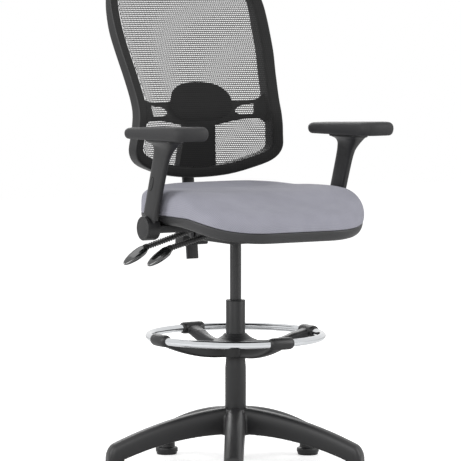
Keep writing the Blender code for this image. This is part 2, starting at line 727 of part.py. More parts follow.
# --- Seat ------------------------------------------------------------------------------------
def seat_outline(inset, steps=5):
    """Plan of the seat drawn in by inset, anticlockwise from the back-left corner."""
    half = SEAT_WIDTH / 2 - inset
    front, back = SEAT_FRONT + inset, SEAT_BACK - inset
    rear_radius, front_radius = SEAT_CORNER - inset, SEAT_FRONT_CORNER - inset
    outline = []
    for k, (right, rear) in enumerate(((1, 1), (-1, 1), (-1, -1), (1, -1))):
        radius = rear_radius if rear > 0 else front_radius
        x = right * (half - radius)
        y = back - radius if rear > 0 else front + radius
        for j in range(steps + 1):
            angle = math.pi / 2 * (k + j / steps)
            outline.append((x + radius * math.cos(angle), y + radius * math.sin(angle)))
    return outline


def front_fall(y, height):
    """How far the seat has curved down at y, at a height above the shell's underside."""
    run = SEAT_FRONT - SEAT_FALL_START
    facet, within = divmod(max((y - SEAT_FALL_START) / run, 0.0) * FRONT_FACETS, 1)
    ends = [smooth_step(-(SEAT_FALL_START + run * k / FRONT_FACETS), -SEAT_FALL_START, -SEAT_FALL_END)
            for k in (facet, facet + 1)]
    share = ends[0] + within * (ends[1] - ends[0])
    blend = min(max(height / SHELL_HEIGHT, 0.0), 1.0)
    return (SHELL_FLOOR_FALL + (SHELL_RIM_FALL - SHELL_FLOOR_FALL) * blend) * share


def seat_ring(inset, height):
    return [(x, y, height) for x, y in seat_outline(inset)]


def bend_front(shape):
    """Slice a flat-built seat layer across its front and let it fall there."""
    for k in range(FRONT_FACETS):
        y = SEAT_FALL_START + (SEAT_FRONT - SEAT_FALL_START) * k / FRONT_FACETS
        bmesh.ops.bisect_plane(shape, geom=shape.verts[:] + shape.edges[:] + shape.faces[:],
                               dist=0.000001, plane_co=(0, y, 0), plane_no=(0, 1, 0))
    for vertex in shape.verts:
        vertex.co.z -= front_fall(vertex.co.y, vertex.co.z)
    return shape


def cushion_top(x, y):
    """Height of the cushion's top over the shell's rim: dished, with a waterfall front."""
    fall = CUSHION_FRONT_FALL * smooth_step(-y, 0.06, -SEAT_FRONT + 0.02) ** 1.4
    dish = CUSHION_DISH * math.cos(min(abs(x) / (SEAT_WIDTH / 2), 1.0) * math.pi / 2)
    return CUSHION_HEIGHT - fall - dish * smooth_step(y, -0.2, 0.05)


def build_seat():
    rim = SHELL_HEIGHT
    floor = SHEET
    shell = piece("seat_shell", bend_front(loft([
        seat_ring(SHELL_TUCK + 0.006, 0.0), seat_ring(SHELL_TUCK, 0.004), seat_ring(0.002, rim * 0.55),
        seat_ring(0.0, rim), seat_ring(WALL, rim), seat_ring(WALL + 0.002, rim * 0.55),
        seat_ring(WALL + SHELL_TUCK, floor + 0.003), seat_ring(WALL + SHELL_TUCK + 0.006, floor)])),
        POLYPROPYLENE, seat_frame)
    opening = 0.001
    cut(shell, block((2 * (TRAY_HALF_WIDTH + opening), TRAY_BACK - TRAY_FRONT + 2 * opening, 0.02),
                     (0, (TRAY_BACK + TRAY_FRONT) / 2, 0)))
    board_low = floor + GAP
    board_high = board_low + BOARD_THICKNESS
    piece("seat_board", bend_front(loft([seat_ring(BOARD_INSET, board_low),
                                         seat_ring(BOARD_INSET, board_high)])), PLYWOOD, seat_frame)
    low = board_high + GAP
    seam = rim + GAP

    def top_ring(inset, drop, share=1.0):
        middle = (SEAT_FRONT + SEAT_BACK) / 2
        ring = []
        for x, y in seat_outline(inset):
            x, y = x * share, middle + (y - middle) * share
            ring.append((x, y, seam + cushion_top(x, y) - drop))
        return ring

    piece("seat_cushion", bend_front(loft([
        seat_ring(WALL + 0.008, low), seat_ring(WALL + 0.004, seam), seat_ring(0.0, seam),
        top_ring(-CUSHION_BULGE, CUSHION_ROUND * 1.6), top_ring(-CUSHION_BULGE * 0.5, CUSHION_ROUND * 0.8),
        top_ring(CUSHION_ROUND * 0.30, CUSHION_ROUND * 0.25), top_ring(CUSHION_ROUND, 0.0),
        top_ring(CUSHION_ROUND, 0.0, 0.7), top_ring(CUSHION_ROUND, 0.0, 0.3)])), WOVEN_FABRIC, seat_frame)


# --- Mechanism -------------------------------------------------------------------------------
def build_mechanism():
    plate_top = SHEET
    length = TRAY_BACK - TRAY_FRONT
    middle = (TRAY_BACK + TRAY_FRONT) / 2
    tray = piece("mechanism_tray", block((2 * TRAY_HALF_WIDTH, length, TRAY_DEPTH + plate_top),
                                         (0, middle, (plate_top - TRAY_DEPTH) / 2), 0.004, 1),
                 BLACK_STEEL, seat_frame)
    cut(tray, block((2 * (TRAY_HALF_WIDTH - SHEET), length - 2 * SHEET, TRAY_DEPTH + 0.02),
                    (0, middle, -(TRAY_DEPTH + 0.02) / 2), 0.002, 1))
    rear_gap = TRAY_BACK - 0.012
    cut(tray, block((2 * (TRAY_HALF_WIDTH - SHEET), 0.05, TRAY_DEPTH + 0.02),
                    (0, rear_gap + 0.025, -(TRAY_DEPTH + 0.02) / 2)))
    lug_y = RAKE_LEVER_Y + LEVER_EYE_LENGTH / 2 + 0.012
    join(tray, block((0.022, SHEET, 0.030), (-TRAY_HALF_WIDTH + 0.012, lug_y, -0.014)))
    pin_front = TRAY_FRONT - 0.003
    pin_back = lug_y + SHEET / 2 + 0.003
    for bore, start, end in ((LEVER_PIN_RADIUS, pin_front - 0.01, pin_back + 0.01),):
        cut(tray, cylinder((LEVER_AXIS_X, start, LEVER_AXIS_Z), (LEVER_AXIS_X, end, LEVER_AXIS_Z),
                           bore + GAP, 16))
    cut(tray, cylinder((-0.1, RAKE_AXIS_Y, RAKE_AXIS_Z), (0.1, RAKE_AXIS_Y, RAKE_AXIS_Z),
                       RAKE_SHAFT_RADIUS + GAP, 16))
    for y in (LIFT_LEVER_Y, RAKE_LEVER_Y):
        cut(tray, block((0.02, 0.015, 0.024), (-TRAY_HALF_WIDTH, y, LEVER_AXIS_Z - 0.002)))

    pin = piece("lever_pin", cylinder((LEVER_AXIS_X, pin_front, LEVER_AXIS_Z),
                                      (LEVER_AXIS_X, pin_back, LEVER_AXIS_Z), LEVER_PIN_RADIUS, 16),
                BRIGHT_STEEL, seat_frame)
    join(pin, cylinder((LEVER_AXIS_X, pin_front - 0.0025, LEVER_AXIS_Z),
                       (LEVER_AXIS_X, TRAY_FRONT - GAP, LEVER_AXIS_Z), LEVER_PIN_RADIUS + 0.0025, 16))
    reach = TRAY_HALF_WIDTH + GAP
    shaft = piece("rake_shaft", cylinder((-reach - 0.002, RAKE_AXIS_Y, RAKE_AXIS_Z),
                                         (reach + 0.002, RAKE_AXIS_Y, RAKE_AXIS_Z),
                                         RAKE_SHAFT_RADIUS, 16), BRIGHT_STEEL, seat_frame)
    for side in (-1, 1):
        join(shaft, cylinder((side * reach, RAKE_AXIS_Y, RAKE_AXIS_Z),
                             (side * (reach + 0.0035), RAKE_AXIS_Y, RAKE_AXIS_Z),
                             RAKE_SHAFT_RADIUS + 0.003, 16))
    build_spring()

    cut_depth = 0.02
    for k, (sx, sy) in enumerate(((-1, -1), (1, -1), (1, 1), (-1, 1))):
        x, y = sx * BOLT_SPREAD_X, sy * BOLT_SPREAD_Y - 0.008
        bolt = piece(f"seat_bolt_{k + 1}", cylinder((x, y, -GAP - 0.0045), (x, y, -GAP), BOLT_HEAD, 6),
                     BRIGHT_STEEL, seat_frame, smooth=20)
        join(bolt, cylinder((x, y, -0.002), (x, y, BOLT_LENGTH), 0.003, 12))
        hole = cylinder((x, y, -cut_depth / 2), (x, y, BOLT_LENGTH + GAP), 0.003 + GAP, 12)
        cut(tray, hole)
        cut(bpy.data.objects["seat_board"],
            cylinder((x, y, -cut_depth / 2), (x, y, BOLT_LENGTH + GAP), 0.003 + GAP, 12))


def build_spring():
    """Torsion spring wound on the rake shaft, one leg bearing up on the tray."""
    coil = RAKE_SHAFT_RADIUS + GAP + SPRING_WIRE + 0.0004
    steps = 8
    points = [(-SPRING_LENGTH / 2, CARRIER_FRONT - 0.030, -SPRING_WIRE - 2 * GAP),
              (-SPRING_LENGTH / 2, CARRIER_FRONT - 0.018, -SPRING_WIRE - 2 * GAP),
              (-SPRING_LENGTH / 2, CARRIER_FRONT - 0.006, RAKE_AXIS_Z + coil)]
    for k in range(SPRING_TURNS * steps + 1):
        angle = math.pi / 2 - 2 * math.pi * k / steps
        points.append((-SPRING_LENGTH / 2 + SPRING_LENGTH * k / (SPRING_TURNS * steps),
                       RAKE_AXIS_Y + coil * math.cos(angle), RAKE_AXIS_Z + coil * math.sin(angle)))
    piece("rake_spring", round_rod(points, SPRING_WIRE, 0), BRIGHT_STEEL, seat_frame)


def carrier_ring(y, half_width, low):
    """Section of the pressed carrier, an inverted channel."""
    inner, under = half_width - SHEET, CARRIER_TOP - SHEET
    ring = [(-half_width, low), (-half_width, CARRIER_TOP - 0.004), (-half_width + 0.004, CARRIER_TOP),
            (half_width - 0.004, CARRIER_TOP), (half_width, CARRIER_TOP - 0.004), (half_width, low),
            (inner, low), (inner, under), (-inner, under), (-inner, low)]
    return [(x, y - RAKE_AXIS_Y, z - RAKE_AXIS_Z) for x, z in ring]


def build_carrier():
    back = HOUSING_FRONT - GAP
    rings = []
    for share in (0.0, 0.30, 0.55, 0.80, 1.0):
        y = CARRIER_FRONT + (back - CARRIER_FRONT) * share
        blend = smooth_step(share, 0.25, 0.85)
        half = CARRIER_HALF_WIDTH + (CARRIER_BACK_HALF_WIDTH - CARRIER_HALF_WIDTH) * blend
        rings.append(carrier_ring(y, half, CARRIER_BOTTOM + 0.004 * blend))
    carrier = piece("back_carrier", loft(rings), BLACK_STEEL, carrier_frame)
    cut(carrier, cylinder((-0.1, 0, 0), (0.1, 0, 0), RAKE_SHAFT_RADIUS + GAP, 16))

    front, low = in_seat(HOUSING_FRONT, HOUSING_BOTTOM)
    rear, high = in_seat(HOUSING_BACK, HOUSING_TOP)
    housing = piece("bar_housing", block((2 * HOUSING_HALF_WIDTH, rear - front, high - low),
                                         (0, (front + rear) / 2, (low + high) / 2), 0.004),
                    POLYPROPYLENE, carrier_frame)
    slot = block((BAR_WIDTH + 2 * GAP, BAR_THICKNESS + 2 * GAP, 0.4), (0, 0, 0))
    tilt_to_bar(slot, carrier_frame)
    cut(housing, slot)
    knob_z = (low + high) / 2
    bar_y = bar_axis(knob_z + RAKE_AXIS_Z) - RAKE_AXIS_Y
    screw_start = bar_y + BAR_THICKNESS / 2 / math.cos(BAR_LEAN) + 0.0012
    cut(housing, cylinder((0, bar_y, knob_z), (0, rear + 0.02, knob_z), 0.004 + GAP, 16))
    knob, screw = star_knob(KNOB_RADIUS, KNOB_LENGTH, 0.004, rear + 0.002 - screw_start)
    knob_frame = empty("back_knob_frame", (0, rear + 0.002, knob_z), carrier_frame,
                       (-math.pi / 2, 0, 0))
    join(piece("back_knob", knob, NYLON, knob_frame), screw)


def bar_axis(z):
    """y of the bar's middle line at a height from the seat level."""
    return BAR_FOOT_Y + (z - BAR_FOOT) * math.tan(BAR_LEAN)


def tilt_to_bar(shape, frame):
    """Turn a shape built about Z to lie along the bar, in the carrier's or the back's frame."""
    bmesh.ops.rotate(shape, verts=shape.verts, matrix=Matrix.Rotation(-BAR_LEAN, 3, "X"))
    y, z = (BAR_FOOT_Y, BAR_FOOT)
    if frame is carrier_frame:
        y, z = in_seat(y, z)
    else:
        y, z = y - BACK_Y, z - BACK_LIFT
    bmesh.ops.translate(shape, verts=shape.verts, vec=(0, y, z))


# --- Levers ----------------------------------------------------------------------------------
def build_lever(name, y, inner, route, grip_start):
    """A steel rod on the lever pin, a ribbed sleeve over it and a teardrop grip at its end."""
    frame = empty(name + "_frame", (LEVER_AXIS_X, y, LEVER_AXIS_Z), seat_frame)
    start, finish = Vector(route[-1]), Vector(grip_start)
    along = Vector((-math.cos(GRIP_SLOPE), 0, -math.sin(GRIP_SLOPE)))
    rod_points = [Vector(p) for p in inner + route] + [finish, finish + along * 0.020]
    rod = piece(name + "_rod", round_rod(rod_points, LEVER_ROD_RADIUS, 1), BRIGHT_STEEL, frame)
    join(rod, cylinder((0, -LEVER_EYE_LENGTH / 2, 0), (0, LEVER_EYE_LENGTH / 2, 0), LEVER_EYE_RADIUS, 16))
    cut(rod, cylinder((0, -LEVER_EYE_LENGTH, 0), (0, LEVER_EYE_LENGTH, 0), LEVER_PIN_RADIUS + GAP, 12))

    ribs = 7
    direction = (finish - start).normalized()
    length = (finish - start).length - 0.003
    rings = []
    side = Vector((0, 1, 0))
    up = direction.cross(side)
    for k in range(2 * ribs + 1):
        radius = LEVER_SLEEVE_RADIUS + (LEVER_RIB if k % 2 else -LEVER_RIB)
        centre = start + direction * length * k / (2 * ribs)
        rings.append([centre + side * radius * math.cos(a) + up * radius * math.sin(a)
                      for a in (2 * math.pi * j / 10 for j in range(10))])
    sleeve = piece(name + "_sleeve", loft(rings), RUBBER, frame, smooth=20)
    cut(sleeve, cylinder(start - direction * 0.01, finish + direction * 0.01,
                         LEVER_ROD_RADIUS + GAP, 10))

    rings = []
    across = Vector((0, 1, 0))
    lift = along.cross(across)
    for share in (0.0, 0.04, 0.18, 0.42, 0.68, 0.90, 1.0):
        swell = math.sin(math.pi * min(0.16 + 0.76 * share, 1.0)) ** 0.65
        if share == 0.0:
            swell *= 0.75
        if share == 1.0:
            swell *= 0.55
        centre = finish + along * GRIP_LENGTH * share
        rings.append([centre + across * GRIP_WIDTH * swell * math.cos(a)
                      + lift * GRIP_THICKNESS * swell * math.sin(a)
                      for a in (2 * math.pi * j / 12 for j in range(12))])
    grip = piece(name + "_grip", loft(rings), GLOSS_PLASTIC, frame)
    cut(grip, cylinder(finish - along * 0.01, finish + along * (0.020 + GAP), LEVER_ROD_RADIUS + GAP + 0.0004, 10))
    return frame


def build_levers(button_top):
    finger = button_top + GAP + LEVER_ROD_RADIUS - LEVER_AXIS_Z
    lift_inner = [(-LEVER_AXIS_X + 0.004, -LIFT_LEVER_Y, finger), (-LEVER_AXIS_X - 0.010, -LIFT_LEVER_Y, finger),
                  (0.014, 0.012, 0.004)]
    lift_route = [(0.0, 0.0, 0.0), (-0.020, 0.0, -0.003), (-0.052, 0.0, -0.0075)]
    build_lever("lift_lever", LIFT_LEVER_Y, lift_inner, lift_route, (-0.163, 0.0, -0.0355))
    rake_inner = [(0.030, 0.0, 0.0)]
    rake_route = [(0.0, 0.0, 0.0), (-0.020, 0.0, -0.001), (-0.062, 0.0, -0.0045)]
    build_lever("rake_lever", RAKE_LEVER_Y, rake_inner, rake_route, (-0.183, 0.0, -0.038))


# --- Back ------------------------------------------------------------------------------------
# Front outline of the frame as shares of its half width and height, from the middle of the
# lower edge up one side to the middle of the top.
BACK_OUTLINE = [(0.0, 0.0), (0.36, 0.011), (0.66, 0.045), (0.862, 0.084), (0.951, 0.141),
                (0.940, 0.226), (0.915, 0.359), (0.940, 0.491), (0.981, 0.624), (1.0, 0.757),
                (0.985, 0.871), (0.910, 0.956), (0.660, 0.989), (0.0, 1.0)]
# Side view of the frame's front edge: share of the height, and metres behind its lower end.
BACK_PROFILE = [(0.0, 0.0), (0.133, -0.0085), (0.281, -0.0200), (0.38, -0.009), (0.577, 0.0400),
                (0.725, 0.0800), (0.871, 0.1125), (1.0, 0.1355)]


def back_outline(steps=2):
    """Closed front outline of the frame as (x, z) points."""
    mirrored = [(-x, z) for x, z in reversed(BACK_OUTLINE[1:-1])]
    return [(x * BACK_HALF_WIDTH, z * BACK_HEIGHT)
            for x, z in smooth_curve(BACK_OUTLINE + mirrored, steps, closed=True)]


def side_y(z):
    share, y = zip(*smooth_curve(BACK_PROFILE, 6))
    return float(np.interp(z / BACK_HEIGHT, share, y))


def surface_y(x, z):
    """Front surface of the back: curved in side view and hollow in plan."""
    return side_y(z) + BACK_HOLLOW * (1 - min(abs(x) / BACK_HALF_WIDTH, 1.0) ** 2)


def inward_normals(outline):
    count = len(outline)
    normals = []
    for i in range(count):
        ahead, behind = outline[(i + 1) % count], outline[i - 1]
        along = Vector((ahead[0] - behind[0], ahead[1] - behind[1])).normalized()
        normals.append(Vector((-along.y, along.x)))
    return normals


def rim_section(height):
    """Moulded channel, open at the back and shallower over the top: (inward, backward) points."""
    edge = RIM_EDGE
    trim = RIM_TOP_TRIM * smooth_step(height, RIM_TRIM_START, BACK_HEIGHT)
    outer, inner = RIM_DEPTH - trim, RIM_INNER_DEPTH - trim * 0.7
    return [(0.0, outer), (0.0, edge + 0.001), (edge * 0.35, edge * 0.30), (RIM_LAND_START, 0.0),
            (RIM_WIDTH - edge, 0.0), (RIM_WIDTH - edge * 0.25, edge * 0.30), (RIM_WIDTH, edge),
            (RIM_WIDTH, inner), (RIM_WIDTH - WALL, inner),
            (RIM_WIDTH - WALL, WALL), (WALL, WALL), (WALL, outer)]


def rim_shape():
    outline = back_outline()
    rings = []
    for (x, z), normal in zip(outline, inward_normals(outline)):
        ring = []
        for inward, backward in rim_section(z):
            px, pz = x + normal.x * inward, z + normal.y * inward
            ring.append((px, surface_y(px, pz) + backward, pz))
        rings.append(ring)
    return loft(rings, closed=True)


def clipped(outline, axis, limit, keep_below):
    """The part of a closed (x, z) outline on one side of a line."""
    found = []
    for here, after in zip(outline, outline[1:] + outline[:1]):
        inside = [(point[axis] < limit) == keep_below for point in (here, after)]
        if inside[0]:
            found.append(here)
        if inside[0] != inside[1]:
            share = (limit - here[axis]) / (after[axis] - here[axis])
            found.append(tuple(a + (b - a) * share for a, b in zip(here, after)))
    return [point for k, point in enumerate(found) if math.dist(point, found[k - 1]) > NET_HEM / 8]


def outline_area(outline):
    return abs(sum(a[0] * b[1] - b[0] * a[1] for a, b in zip(outline, outline[1:] + outline[:1]))) / 2


def net_openings():
    """Outlines of the plain grid of openings in the net, kept inside the rim."""
    outline = back_outline()
    edge = [(x + n.x * (RIM_WIDTH + NET_HEM), z + n.y * (RIM_WIDTH + NET_HEM))
            for (x, z), n in zip(outline, inward_normals(outline))]
    starts = [min(point[axis] for point in edge) - NET_BAR / 2 for axis in (0, 1)]
    ends = [max(point[axis] for point in edge) + NET_BAR / 2 for axis in (0, 1)]
    pitch_x = (ends[0] - starts[0]) / NET_COLUMNS
    pitch_z = (ends[1] - starts[1]) / NET_ROWS
    openings = []
    for i in range(NET_COLUMNS):
        left = starts[0] + pitch_x * i + NET_BAR / 2
        column = clipped(clipped(edge, 0, left, False), 0, left + pitch_x - NET_BAR, True)
        for j in range(NET_ROWS):
            low = starts[1] + pitch_z * j + NET_BAR / 2
            cell = clipped(clipped(column, 1, low, False), 1, low + pitch_z - NET_BAR, True)
            if len(cell) > 2 and outline_area(cell) > NET_LEAST:
                openings.append(cell)
    return openings


def fabric_shape():
    """Net over the front of the rim, on the same stations as the rim's own facets."""
    outline = back_outline()
    normals = inward_normals(outline)
    shape = bmesh.new()

    def closed_line(points):
        row = [shape.verts.new((x, 0.0, z)) for x, z in points]
        return row, [shape.edges.new((row[k - 1], row[k])) for k in range(len(row))]

    rows = []
    for inset in (RIM_LAND_START, RIM_WIDTH - RIM_EDGE):
        rows.append(closed_line([(x + n.x * inset, z + n.y * inset) for (x, z), n in zip(outline, normals)]))
    edges = list(rows[1][1])
    for opening in net_openings():
        edges += closed_line(opening)[1]
    bmesh.ops.triangle_fill(shape, use_beauty=True, use_dissolve=False, edges=edges, normal=(0, 1, 0))
    outer, inner = rows[0][0], rows[1][0]
    for k in range(len(outer)):
        shape.faces.new((outer[k - 1], outer[k], inner[k], inner[k - 1]))
    bmesh.ops.recalc_face_normals(shape, faces=shape.faces)
    grown = bmesh.ops.extrude_face_region(shape, geom=shape.faces[:])
    bmesh.ops.translate(shape, verts=[v for v in grown["geom"] if isinstance(v, bmesh.types.BMVert)],
                        vec=(0, -FABRIC_THICKNESS, 0))
    for vertex in shape.verts:
        vertex.co.y += surface_y(vertex.co.x, vertex.co.z) - GAP
    bmesh.ops.recalc_face_normals(shape, faces=shape.faces)
    return shape


def bent_plate(outline, setback, thickness, slice_x=0.035, slice_z=0.025):
    """Extrude an (x, z) outline and bend it to lie behind the back's surface."""
    shape = bmesh.new()
    face = shape.faces.new([shape.verts.new((x, 0.0, z)) for x, z in outline])
    grown = bmesh.ops.extrude_face_region(shape, geom=[face])
    moved = [item for item in grown["geom"] if isinstance(item, bmesh.types.BMVert)]
    bmesh.ops.translate(shape, verts=moved, vec=(0, thickness, 0))
    lows = [min(v.co[axis] for v in shape.verts) for axis in (0, 2)]
    highs = [max(v.co[axis] for v in shape.verts) for axis in (0, 2)]
    for axis, step, low, high in ((0, slice_x, lows[0], highs[0]), (2, slice_z, lows[1], highs[1])):
        count = int((high - low) / step)
        for k in range(1, count + 1):
            place = [0.0, 0.0, 0.0]
            place[axis] = low + (high - low) * k / (count + 1)
            normal = [0.0, 0.0, 0.0]
            normal[axis] = 1.0
            bmesh.ops.bisect_plane(shape, geom=shape.verts[:] + shape.edges[:] + shape.faces[:],
                                   dist=0.000001, plane_co=place, plane_no=normal)
    for vertex in shape.verts:
        vertex.co.y += surface_y(vertex.co.x, vertex.co.z) + setback
    bmesh.ops.recalc_face_normals(shape, faces=shape.faces)
    return shape


def mirrored_outline(half):
    """Close a half outline, given from bottom to top at +x, with its mirror image."""
    return half + [(-x, z) for x, z in reversed(half) if x > 0.0]


def bridge_outline():
    """Central plate with two ribs each side, drawn from the lower middle up the +x side."""
    reach = 0.1835
    low_rib, high_rib = 0.1545, 0.1915
    plate_top = 0.209
    corners = [(0.050, 0.136), (0.110, low_rib - RIB_HEIGHT / 2), (reach, low_rib - RIB_HEIGHT / 2 + 0.004),
               (reach, low_rib + RIB_HEIGHT / 2 + 0.004), (0.115, low_rib + RIB_HEIGHT / 2 + 0.001),
               (0.094, 0.172), (0.112, high_rib - RIB_HEIGHT / 2 - 0.001),
               (reach, high_rib - RIB_HEIGHT / 2 + 0.006), (reach, high_rib + RIB_HEIGHT / 2 + 0.006),
               (0.100, high_rib + RIB_HEIGHT / 2 - 0.001), (0.060, plate_top)]
    return mirrored_outline(corners)


def spine_shape():
    rings = []
    for share in (0.0, 0.25, 0.5, 0.75, 1.0):
        z = 0.012 + (SPINE_TOP - 0.012) * share
        half = SPINE_HALF_WIDTH + (SPINE_TOP_HALF_WIDTH - SPINE_HALF_WIDTH) * share
        rings.append([(x, surface_y(x, z) + SPINE_SETBACK + back, z)
                      for x, back in ((-half, 0), (-half / 3, 0), (half / 3, 0), (half, 0),
                                      (half, SPINE_DEPTH), (half / 3, SPINE_DEPTH),
                                      (-half / 3, SPINE_DEPTH), (-half, SPINE_DEPTH))])
    return loft(rings)


def bar_in_back(z, offset):
    """y, in the back's frame, of a plane parallel to the bar, offset behind its middle line."""
    return bar_axis(z + BACK_LIFT) - BACK_Y + offset / math.cos(BAR_LEAN)


def build_back():
    back_frame = empty("back_frame_origin", in_carrier(BACK_Y, BACK_LIFT), carrier_frame)
    frame = piece("back_frame", rim_shape(), POLYPROPYLENE, back_frame)
    join(frame, bent_plate(bridge_outline(), BRIDGE_SETBACK, BRIDGE_THICKNESS))
    join(frame, spine_shape())
    boss_half = BAR_WIDTH / 2 + COVER_WALL
    boss = loft([[(x, y, z) for x, y in ((-boss_half, front), (boss_half, front),
                                         (boss_half, bar_in_back(z, -BAR_THICKNESS / 2 - GAP)),
                                         (-boss_half, bar_in_back(z, -BAR_THICKNESS / 2 - GAP)))]
                 for z, front in ((COVER_BOTTOM, surface_y(0, COVER_BOTTOM) + SPINE_SETBACK + 0.01),
                                  (COVER_TOP, surface_y(0, COVER_TOP) + SPINE_SETBACK + 0.01))])
    join(frame, boss)
    slot_half = LUMBAR_STEM / 2 + GAP
    slot = block((2 * slot_half, 0.06, LUMBAR_SLOT_UP + LUMBAR_SLOT_DOWN + 2 * slot_half + 0.004),
                 (0, 0, (LUMBAR_SLOT_UP - LUMBAR_SLOT_DOWN) / 2))
    bmesh.ops.rotate(slot, verts=slot.verts, matrix=Matrix.Rotation(-LUMBAR_LEAN, 3, "X"))
    stem_y = surface_y(0, LUMBAR_STEM_HEIGHT) + BRIDGE_SETBACK
    bmesh.ops.translate(slot, verts=slot.verts, vec=(0, stem_y, LUMBAR_STEM_HEIGHT))
    cut(frame, slot)

    bar = block((BAR_WIDTH, BAR_THICKNESS, BAR_LENGTH), (0, 0, BAR_LENGTH / 2), 0.0015)
    tilt_to_bar(bar, back_frame)
    piece("back_bar", bar, BLACK_STEEL, back_frame)

    cover_rear = BAR_THICKNESS / 2 + GAP + COVER_WALL
    cover = piece("bar_cover", loft([
        [(x, bar_in_back(z, offset), z) for x, offset in (
            (-boss_half, -BAR_THICKNESS / 2), (boss_half, -BAR_THICKNESS / 2),
            (boss_half, cover_rear - 0.003), (boss_half - 0.004, cover_rear),
            (-boss_half + 0.004, cover_rear), (-boss_half, cover_rear - 0.003))]
        for z in (COVER_BOTTOM, COVER_TOP)]), POLYPROPYLENE, back_frame)
    pocket_top = COVER_TOP - COVER_WALL
    bar_end = BAR_FOOT + BAR_LENGTH * math.cos(BAR_LEAN) - BACK_LIFT
    pocket = block((BAR_WIDTH + 2 * GAP, BAR_THICKNESS + 2 * GAP, BAR_LENGTH + 2 * GAP),
                   (0, 0, BAR_LENGTH / 2))
    tilt_to_bar(pocket, back_frame)
    cut(cover, pocket)

    piece("back_mesh", fabric_shape(), MESH_FABRIC, back_frame)
    build_lumbar(back_frame)


def build_lumbar(back_frame):
    """Domed pad behind the mesh, on a stem that slides in the bridge's slot."""
    frame = empty("lumbar_frame", (0, 0, LUMBAR_STEM_HEIGHT), back_frame)
    outline = []
    for k in range(20):
        angle = -math.pi / 2 + 2 * math.pi * k / 20
        across = abs(math.cos(angle)) ** 0.8 * math.copysign(1, math.cos(angle))
        upward = abs(math.sin(angle)) ** 0.8 * math.copysign(1, math.sin(angle))
        height = LUMBAR_HEIGHT * (0.60 if upward > 0 else 0.40)
        outline.append((LUMBAR_HALF_WIDTH * across * (1 - 0.12 * max(-upward, 0)),
                        LUMBAR_BOTTOM + LUMBAR_HEIGHT * 0.40 + height * upward))
    centre_z = LUMBAR_BOTTOM + LUMBAR_HEIGHT * 0.45
    rings = []
    for share, back in ((0.50, 1.0), (0.98, 0.9), (1.0, 0.4), (0.88, 0.0), (0.45, 0.0)):
        rings.append([(x * share, surface_y(x * share, centre_z + (z - centre_z) * share) + LUMBAR_SETBACK
                       + LUMBAR_THICKNESS * back, centre_z + (z - centre_z) * share - LUMBAR_STEM_HEIGHT)
                      for x, z in outline])
    pad = piece("lumbar_pad", loft(rings), POLYPROPYLENE, frame)
    start = surface_y(0, LUMBAR_STEM_HEIGHT)
    front = LUMBAR_SETBACK + LUMBAR_THICKNESS * 0.5
    rear = BRIDGE_SETBACK + BRIDGE_THICKNESS + 0.003
    for part in (block((LUMBAR_STEM, rear - front, LUMBAR_STEM), (0, (rear + front) / 2, 0)),
                 block((0.022, 0.004, 0.020), (0, rear + 0.001, 0), 0.001, 1)):
        bmesh.ops.rotate(part, verts=part.verts, matrix=Matrix.Rotation(-LUMBAR_LEAN, 3, "X"))
        bmesh.ops.translate(part, verts=part.verts, vec=(0, start, 0))
        join(pad, part)


def in_carrier(y, z):
    dy, dz = in_seat(y, z)
    return 0.0, dy, dz


# --- Armrests --------------------------------------------------------------------------------
def oblong(half_x, half_y, points=12, power=0.55):
    """Rounded oblong about the origin."""
    outline = []
    for k in range(points):
        angle = 2 * math.pi * (k + 0.5) / points
        c, s = math.cos(angle), math.sin(angle)
        outline.append((half_x * abs(c) ** power * math.copysign(1, c),
                        half_y * abs(s) ** power * math.copysign(1, s)))
    return outline


def arm_ring(x, y, z, half_width, half_length, lean, power=0.55):
    """Section of the arm at a point of the arm frame, tipped forward by lean."""
    ring = []
    for dx, dy in oblong(half_width, half_length, power=power):
        ring.append((x + dx, y + dy * math.cos(lean), z + dy * math.sin(lean)))
    return ring


